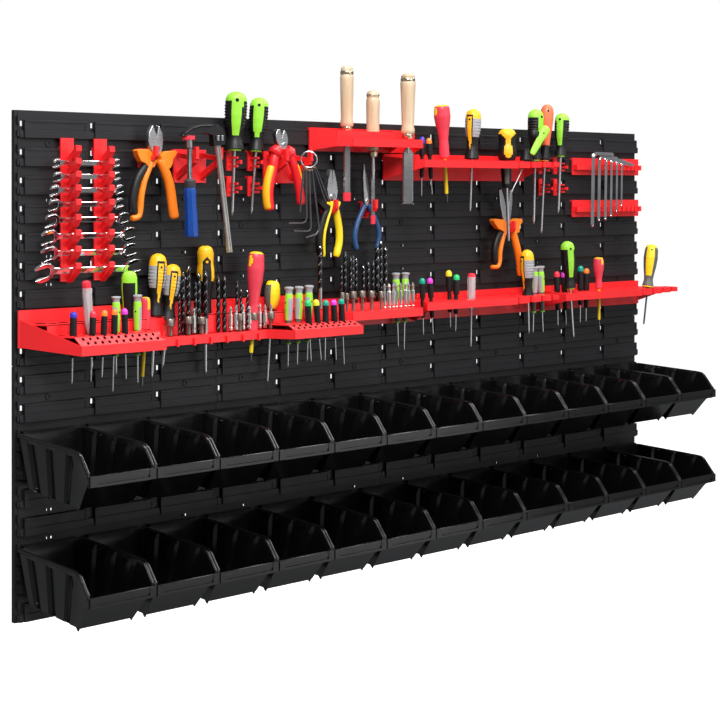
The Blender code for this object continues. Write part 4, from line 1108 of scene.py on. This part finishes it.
sh = Shape("insulated_pliers")
Y = -52
flat_part(sh, [(-286, 369), (-289, 362), (-287, 352), (-281, 343), (-276, 338), (-268, 340), (-268, 349), (-274, 356), (-277, 364), (-279, 371), (-283, 372)], Y, 10, "steel")
flat_part(sh, [(-270, 370), (-273, 362), (-274, 354), (-276, 344), (-272, 336), (-264, 339), (-260, 350), (-262, 362), (-266, 369)], Y + 1, 10, "steel")
joint_pin(sh, -271, 345, Y, 4.4, 13.5, "chrome_and_drill_glint")
sh.tube([(-279, Y, 338), (-288, Y, 330)], [10, 13], "scarlet", 24)
sh.tube([(-288, Y, 330), (-291, Y, 327)], [13, 9], "scarlet", 24)
sh.tube([(-262, Y, 338), (-254, Y, 331)], [9, 12], "scarlet", 24)
sh.tube([(-254, Y, 331), (-251, Y, 328)], [12, 8], "scarlet", 24)
arm(sh, [(-281, 338), (-289, 318), (-293, 300), (-299, 282), (-302, 264), (-301, 248), (-299, 234)], Y, 9.0, "scarlet", 0.95)
arm(sh, [(-296, 309), (-302, 294), (-306, 280), (-308, 264), (-307, 248), (-304, 236)], Y - 1.5, 5.8, "gold_ribs", 1.25)
arm(sh, [(-262, 338), (-252, 324), (-243, 307), (-235, 284), (-230, 262), (-228, 243)], Y, 7.6, "scarlet", 0.95)
arm(sh, [(-241, 312), (-234, 296), (-228, 278)], Y - 1, 4.8, "gold_ribs", 1.2)
sh.build(bevel=1.2)

sh = Shape("hex_keys_on_ring")
Y = -74
R = 13.6
c, s = math.cos(math.radians(-40)), math.sin(math.radians(-40))
ring = [(-229 + R * math.cos(2 * math.pi * i / 28) * c, Y + R * math.cos(2 * math.pi * i / 28) * s, 320.5 + R * math.sin(2 * math.pi * i / 28)) for i in range(29)]
sh.tube(ring, 1.25, "steel", 8)
for x, z in ((-240, 308.5), (-235, 304), (-229, 302), (-223, 303), (-217, 307)):
    sh.tube([(x, Y, z + 2.2), (x, Y, z + 1.4), (x, Y, z - 1.4), (x, Y, z - 2.2)], [1.2, 2.7, 2.7, 1.2], "brass", 10)
for pts in (
    [(-241, 307), (-250, 231)],
    [(-236, 303), (-235, 222), (-237, 215), (-243, 212), (-276, 212)],
    [(-229, 301), (-225, 206), (-227, 200), (-233, 198), (-265, 199)],
    [(-222, 301), (-207, 208), (-207, 199), (-213, 192), (-237, 187)],
    [(-217, 304), (-190, 246)],
    [(-213, 306), (-184, 250)],
):
    sh.tube([(x, Y, z) for x, z in pts], 1.75, "steel_dark", 6)
sh.build()

sh = Shape("combination_pliers")
sh.move = Matrix.Translation((10.2, 12, 0))
Y = -48
flat_part(sh, [(-157, 305), (-163, 286), (-166, 270), (-162, 255), (-152, 246), (-147, 252), (-152, 262), (-153, 283), (-154, 301)], Y, 9, "steel")
flat_part(sh, [(-149, 304), (-143, 284), (-140, 268), (-142, 254), (-150, 245), (-155, 252), (-152, 264), (-151.4, 283), (-151, 300)], Y + 1, 9, "steel")
joint_pin(sh, -152, 257, Y, 5.2, 13, "chrome_and_drill_glint")
flat_part(sh, [(-186, 246), (-179, 251), (-170, 250), (-157, 243), (-156, 233), (-168, 232), (-178, 239)], Y, 11, "black")
arm(sh, [(-168, 246), (-160, 243), (-154, 236)], Y - 2, 3.4, "lemon", 1.3)
arm(sh, [(-160, 238), (-171, 220), (-179, 196), (-181, 174), (-178, 154)], Y, 6.6, "black")
arm(sh, [(-153, 249), (-158, 233), (-165, 216), (-172, 194), (-174, 172), (-173, 152)], Y - 2, 3.2, "lemon", 1.7)
arm(sh, [(-134, 248), (-140, 238), (-146, 244), (-150, 248)], Y, 4.0, "lemon", 1.2)
arm(sh, [(-148, 248), (-141, 230), (-136, 211), (-133, 193), (-134, 173), (-141, 151)], Y, 6.6, "lemon", 1.0)
arm(sh, [(-138, 232), (-131, 212), (-128, 192), (-130, 172)], Y + 3, 4.2, "black", 1.1)
sh.build(bevel=1.0)

sh = Shape("long_nose_pliers")
sh.move = Matrix.Translation((10.2, 12, 0))
Y = -48
flat_part(sh, [(-75, 316), (-77, 293), (-76, 270), (-74, 249), (-68, 238), (-63, 246), (-66, 262), (-70, 280), (-72, 300)], Y, 7, "steel")
flat_part(sh, [(-73, 316), (-66, 290), (-62, 268), (-60, 250), (-66, 238), (-71, 246), (-69, 262), (-71, 290)], Y + 1, 7, "steel_dark")
joint_pin(sh, -67, 249, Y, 4.2, 10, "chrome_and_drill_glint")
arm(sh, [(-69, 243), (-81, 224), (-90, 206), (-95, 188), (-94, 175), (-90, 162)], Y, 4.8, "blue_dip")
arm(sh, [(-62, 243), (-49, 224), (-40, 208), (-35, 192), (-36, 175), (-41, 161)], Y, 4.8, "blue_dip")
sh.build(bevel=0.8)

sh = Shape("snips")
sh.move = Matrix.Translation((9.4, 11, 0))
Y = -46
flat_part(sh, [(293, 268), (299, 271), (306, 256), (314, 232), (319, 208), (324, 196), (314, 194), (308, 208), (302, 220), (296, 240)], Y, 5, "steel")
flat_part(sh, [(326, 268), (333, 271), (334, 248), (331, 227), (327, 208), (320, 194), (312, 197), (318, 214), (324, 242)], Y + 2, 5, "steel")
joint_pin(sh, 318, 203, Y, 5.5, 11, "cap_red")
flat_part(sh, [(271, 210), (278, 213), (302, 211), (317, 202), (320, 190), (308, 184), (297, 190), (286, 194), (278, 202)], Y, 12, "orange")
flat_part(sh, [(322, 196), (328, 208), (340, 213), (357, 212), (358, 206), (350, 198), (349, 186), (336, 183), (326, 188)], Y, 12, "orange")
arm(sh, [(312, 194), (303, 172), (296, 150), (294, 130), (288, 120), (271, 120)], Y - 1, 4.2, "orange", 1.3)
arm(sh, [(300, 188), (288, 170), (282, 149), (284, 127)], Y + 1, 6.8, "black")
arm(sh, [(333, 192), (341, 172), (349, 150), (356, 124), (358, 100)], Y, 7.2, "orange")
arm(sh, [(343, 186), (352, 164), (360, 140)], Y + 3, 4.4, "black")
sh.build(bevel=1.0)

# -------------------------------------------------------------- long hex keys
sh = Shape("hex_key_set")
for x, top, low, r, reach in ((586, 343.5, 193, 4.1, 62), (607.5, 336, 204, 3.5, 56), (630, 332, 206, 3.1, 52), (649, 329, 213, 2.8, 48), (668, 326, 222, 2.5, 44), (685, 323, 234, 2.2, 38)):
    y = -38.5 - r
    bend = r * 2.4
    lean = -0.022
    pts = [(x + lean * (top - low), y, low + 5), (x, y, top - bend)] + [(x + bend - bend * math.cos(t), y, top - bend + bend * math.sin(t)) for t in (0.4, 0.8, 1.2)] + [(x + bend, y, top), (x + reach, y - 2, top - 1)]
    sh.tube(pts, r, "chrome_and_drill_glint", 6)
    foot = x + lean * (top - low)
    sh.tube([(foot, y, low + 6), (foot, y, low + 5), (foot, y, low + 3.6), (foot, y, low + 1.8), (foot, y, low)], [r * 0.9, r * 0.62, r * 0.98, r * 1.0, r * 0.5], "chrome_and_drill_glint", 12)
sh.build()


# ------------------------------------------------------- drills, bits, sockets
def drill(sh, x, y, top, low, dia, shank=None, lean=0.0):
    r = dia / 2
    n = max(8, int((top - low) / 1.6))
    dia *= 1.22
    r = dia / 2
    rings, twists = [], []
    pitch = dia * 2.3 + 8
    for i in range(n + 1):
        z = low + (top - low) * i / n
        tw = 2 * math.pi * (z - low) / pitch
        twists.append(tw)
        end = max(0.06, min(1.0, (top - z) / (r * 1.3)))
        ring = []
        for j in range(14):
            th = 2 * math.pi * j / 14
            rr = r * end * (0.55 + 0.45 * abs(math.cos(th - tw)) ** 0.6)
            ring.append((x + lean * (z - low) + rr * math.cos(th), y + rr * math.sin(th), z))
        rings.append(ring)
    # painted glint: a narrow band on each flute gets the bright polished metal, standing in for the white streaks along
    # the flute edges
    sh.loft(rings, "drill", lambda k, i: "chrome_and_drill_glint" if 1.1 < (2 * math.pi * (i + 0.5) / 14 - twists[k]) % math.pi < 1.53 else "drill")
    if shank:
        sh.tube([(x, y, shank), (x, y, low + 1)], r * 0.86, "steel", 12)


def hex_bit(sh, x, y, top, low, dia, tip="cross"):
    r = dia / 2
    prof = [(low, r * 0.9), (low + 1, r), (low + 5, r), (low + 6, r * 0.72), (low + 8, r * 0.72), (low + 9, r), (top - 15, r), (top - 13, r * 0.66), (top - 7, r * 0.66), (top - 5.5, r * 0.9), (top - 1, r * 0.35 if tip == "cross" else r * 0.75), (top, r * 0.12 if tip == "cross" else r * 0.6)]
    sh.tube([(x, y, z) for z, _ in prof], [q for _, q in prof], "nickel", 6)


def nut_driver(sh, x, y, top, low, dia):
    r = dia / 2
    sh.tube([(x, y, low), (x, y, top - 13), (x, y, top - 12)], [r * 0.60, r * 0.60, r * 0.68], "socket", 16)
    n = 20
    rings = []
    for z, rr in ((top - 12.4, r * 0.6), (top - 11.4, r), (top - 1, r), (top, r * 0.92), (top, r * 0.66), (top - 6, r * 0.62)):
        rings.append([(x + rr * math.cos(2 * math.pi * i / n), y + rr * math.sin(2 * math.pi * i / n), z) for i in range(n)])
    sh.loft(rings, "socket")


sh = Shape("twist_drills_left")
for x, y, top, low, dia in ((-489, -50, 102, 30, 4.0), (-478, -46, 135, 30, 6.6), (-470, -50, 147, 30, 7.2), (-456, -50, 120, 30, 5.4), (-446, -46, 134, 30, 7.6), (-433, -48, 136, 58, 7.8), (-405, -46, 127, 30, 6.2), (-392, -46, 127, 30, 6.4), (-365, -46, 118, 30, 5.2), (-360, -50, 104, 30, 4.4), (-346, -50, 102, 30, 4.4), (-326, -50, 93, 30, 3.8)):
    drill(sh, x, y, top, low, dia)
sh.tube([(-433, -48, 30), (-433, -48, 60)], 3.3, "steel", 12)
sh.build()
sh = Shape("hex_bits_left")
for x, top, dia in ((-461, 77, 6.4), (-384, 76, 6.6), (-372, 77, 6.2), (-357, 78, 6.2), (-343, 75, 6.4), (-321, 77, 6.8), (-309, 75, 6.6), (-296, 76, 6.4)):
    hex_bit(sh, x, -52, top, 36, dia * 1.1)
sh.build(sharp=25)
sh = Shape("nut_drivers_left")
for x, top, dia in ((-511, 62, 16), (-474, 64, 15), (-447, 62, 14.5), (-366, 63, 11.5), (-335, 63, 13), (-298, 63, 14)):
    nut_driver(sh, x, -54, top, 35, dia)
sh.build()
sh = Shape("twist_drills_middle")
for x, y, top, low, dia in ((-181, -50, 174, 98, 7.8), (-123, -42, 136, 52, 4.6), (-114, -42, 161, 52, 6.2), (-103, -45, 151, 52, 5.4), (-95, -42, 153, 52, 6.4), (-87, -42, 146, 52, 5.6), (-69, -42, 134, 52, 5.4), (-57, -42, 141, 52, 5.8), (-45, -42, 143, 52, 5.6), (-34, -42, 169, 52, 8.4), (-25, -42, 178, 52, 7.0), (-16, -45, 166, 52, 7.2)):
    drill(sh, x, y, top, low, dia)
sh.tube([(-181, -50, 60), (-181, -50, 99)], 3.4, "steel", 12)
sh.build()
sh = Shape("nut_drivers_middle")
for x, top, dia in ((-138, 89, 9.5), (-127, 87, 9.0), (-112, 90, 14), (-90, 90, 14), (-67, 89, 14), (-43, 87, 11)):
    nut_driver(sh, x, -60, top, 52, dia)
sh.build()
sh = Shape("hex_bits_middle")
for x, top, dia in ((-34, 100, 5.6), (-23, 100, 7.6), (-12, 100, 5.8), (-4, 99, 5.6), (7, 100, 5.8), (19, 101, 6.6), (28, 100, 5.8), (39, 100, 5.8)):
    hex_bit(sh, x, -60, top, 53, dia * 1.1)
sh.build(sharp=25)

# ---------------------------------------------------------------- stage, light
bpy.ops.mesh.primitive_plane_add(size=14, location=(0, 0, -0.70))
floor = bpy.context.object
floor.name = "floor"
fm, fnodes, flinks, fshader = new_material("floor_pale")
fshader.inputs["Base Color"].default_value = (0.9, 0.9, 0.9, 1)
fshader.inputs["Roughness"].default_value = 0.9
fshader.inputs["Emission Color"].default_value = (1, 1, 1, 1)
fshader.inputs["Emission Strength"].default_value = 0.8
floor.data.materials.append(fm)
floor.visible_diffuse = False
floor.visible_glossy = False


def area(name, at, target, size, power, size_y=None, color=(1, 1, 1)):
    data = bpy.data.lights.new(name, "AREA")
    data.energy = power
    data.color = color
    data.shape = "RECTANGLE"
    data.size = size
    data.size_y = size_y or size
    obj = bpy.data.objects.new(name, data)
    bpy.context.scene.collection.objects.link(obj)
    obj.location = at
    obj.rotation_euler = (Vector(target) - Vector(at)).to_track_quat("-Z", "Y").to_euler()
    return obj


area("key_left", (-1.5, -1.9, 2.1), (-0.2, 0, 0.05), 1.1, 88, 1.1)
area("front_soft", (0.6, -3.2, 1.5), (0.0, 0, 0.0), 2.0, 30, 1.2)
area("front_low", (1.1, -2.6, -0.45), (-0.2, 0, -0.25), 2.4, 11, 1.2)
area("top_strip", (0.0, -0.62, 2.3), (0.0, -0.12, 0.0), 3.0, 50, 0.4)
area("rim_right", (2.0, -0.8, 1.9), (0.1, -0.15, -0.1), 1.2, 22, 0.5)

world = bpy.data.worlds.new("studio")
bpy.context.scene.world = world
world.use_nodes = True
wn, wl = world.node_tree.nodes, world.node_tree.links
wn.clear()
out = wn.new("ShaderNodeOutputWorld")
path = wn.new("ShaderNodeLightPath")
seen, unseen, pick = wn.new("ShaderNodeBackground"), wn.new("ShaderNodeBackground"), wn.new("ShaderNodeMixShader")
seen.inputs["Color"].default_value = (1, 1, 1, 1)
seen.inputs["Strength"].default_value = 1.0
unseen.inputs["Color"].default_value = (0.95, 0.97, 1, 1)
unseen.inputs["Strength"].default_value = 0.25
wl.new(path.outputs["Is Camera Ray"], pick.inputs[0])
wl.new(unseen.outputs[0], pick.inputs[1])
wl.new(seen.outputs[0], pick.inputs[2])
wl.new(pick.outputs[0], out.inputs[0])
bpy.context.scene.view_settings.view_transform = "Standard"

# --------------------------------------------------------------------- camera
cam_data = bpy.data.cameras.new("camera")
cam = bpy.data.objects.new("camera", cam_data)
bpy.context.scene.collection.objects.link(cam)
cam.location = (-2.04035, -2.08171, 0.26557)
cam.rotation_euler = (math.radians(90), 0, -0.70740)
cam_data.sensor_width = 36.0
cam_data.lens = 79.135
cam_data.shift_x = 0.12932
cam_data.shift_y = -0.23383
cam_data.clip_end = 50
bpy.context.scene.camera = cam

bpy.context.view_layer.update()
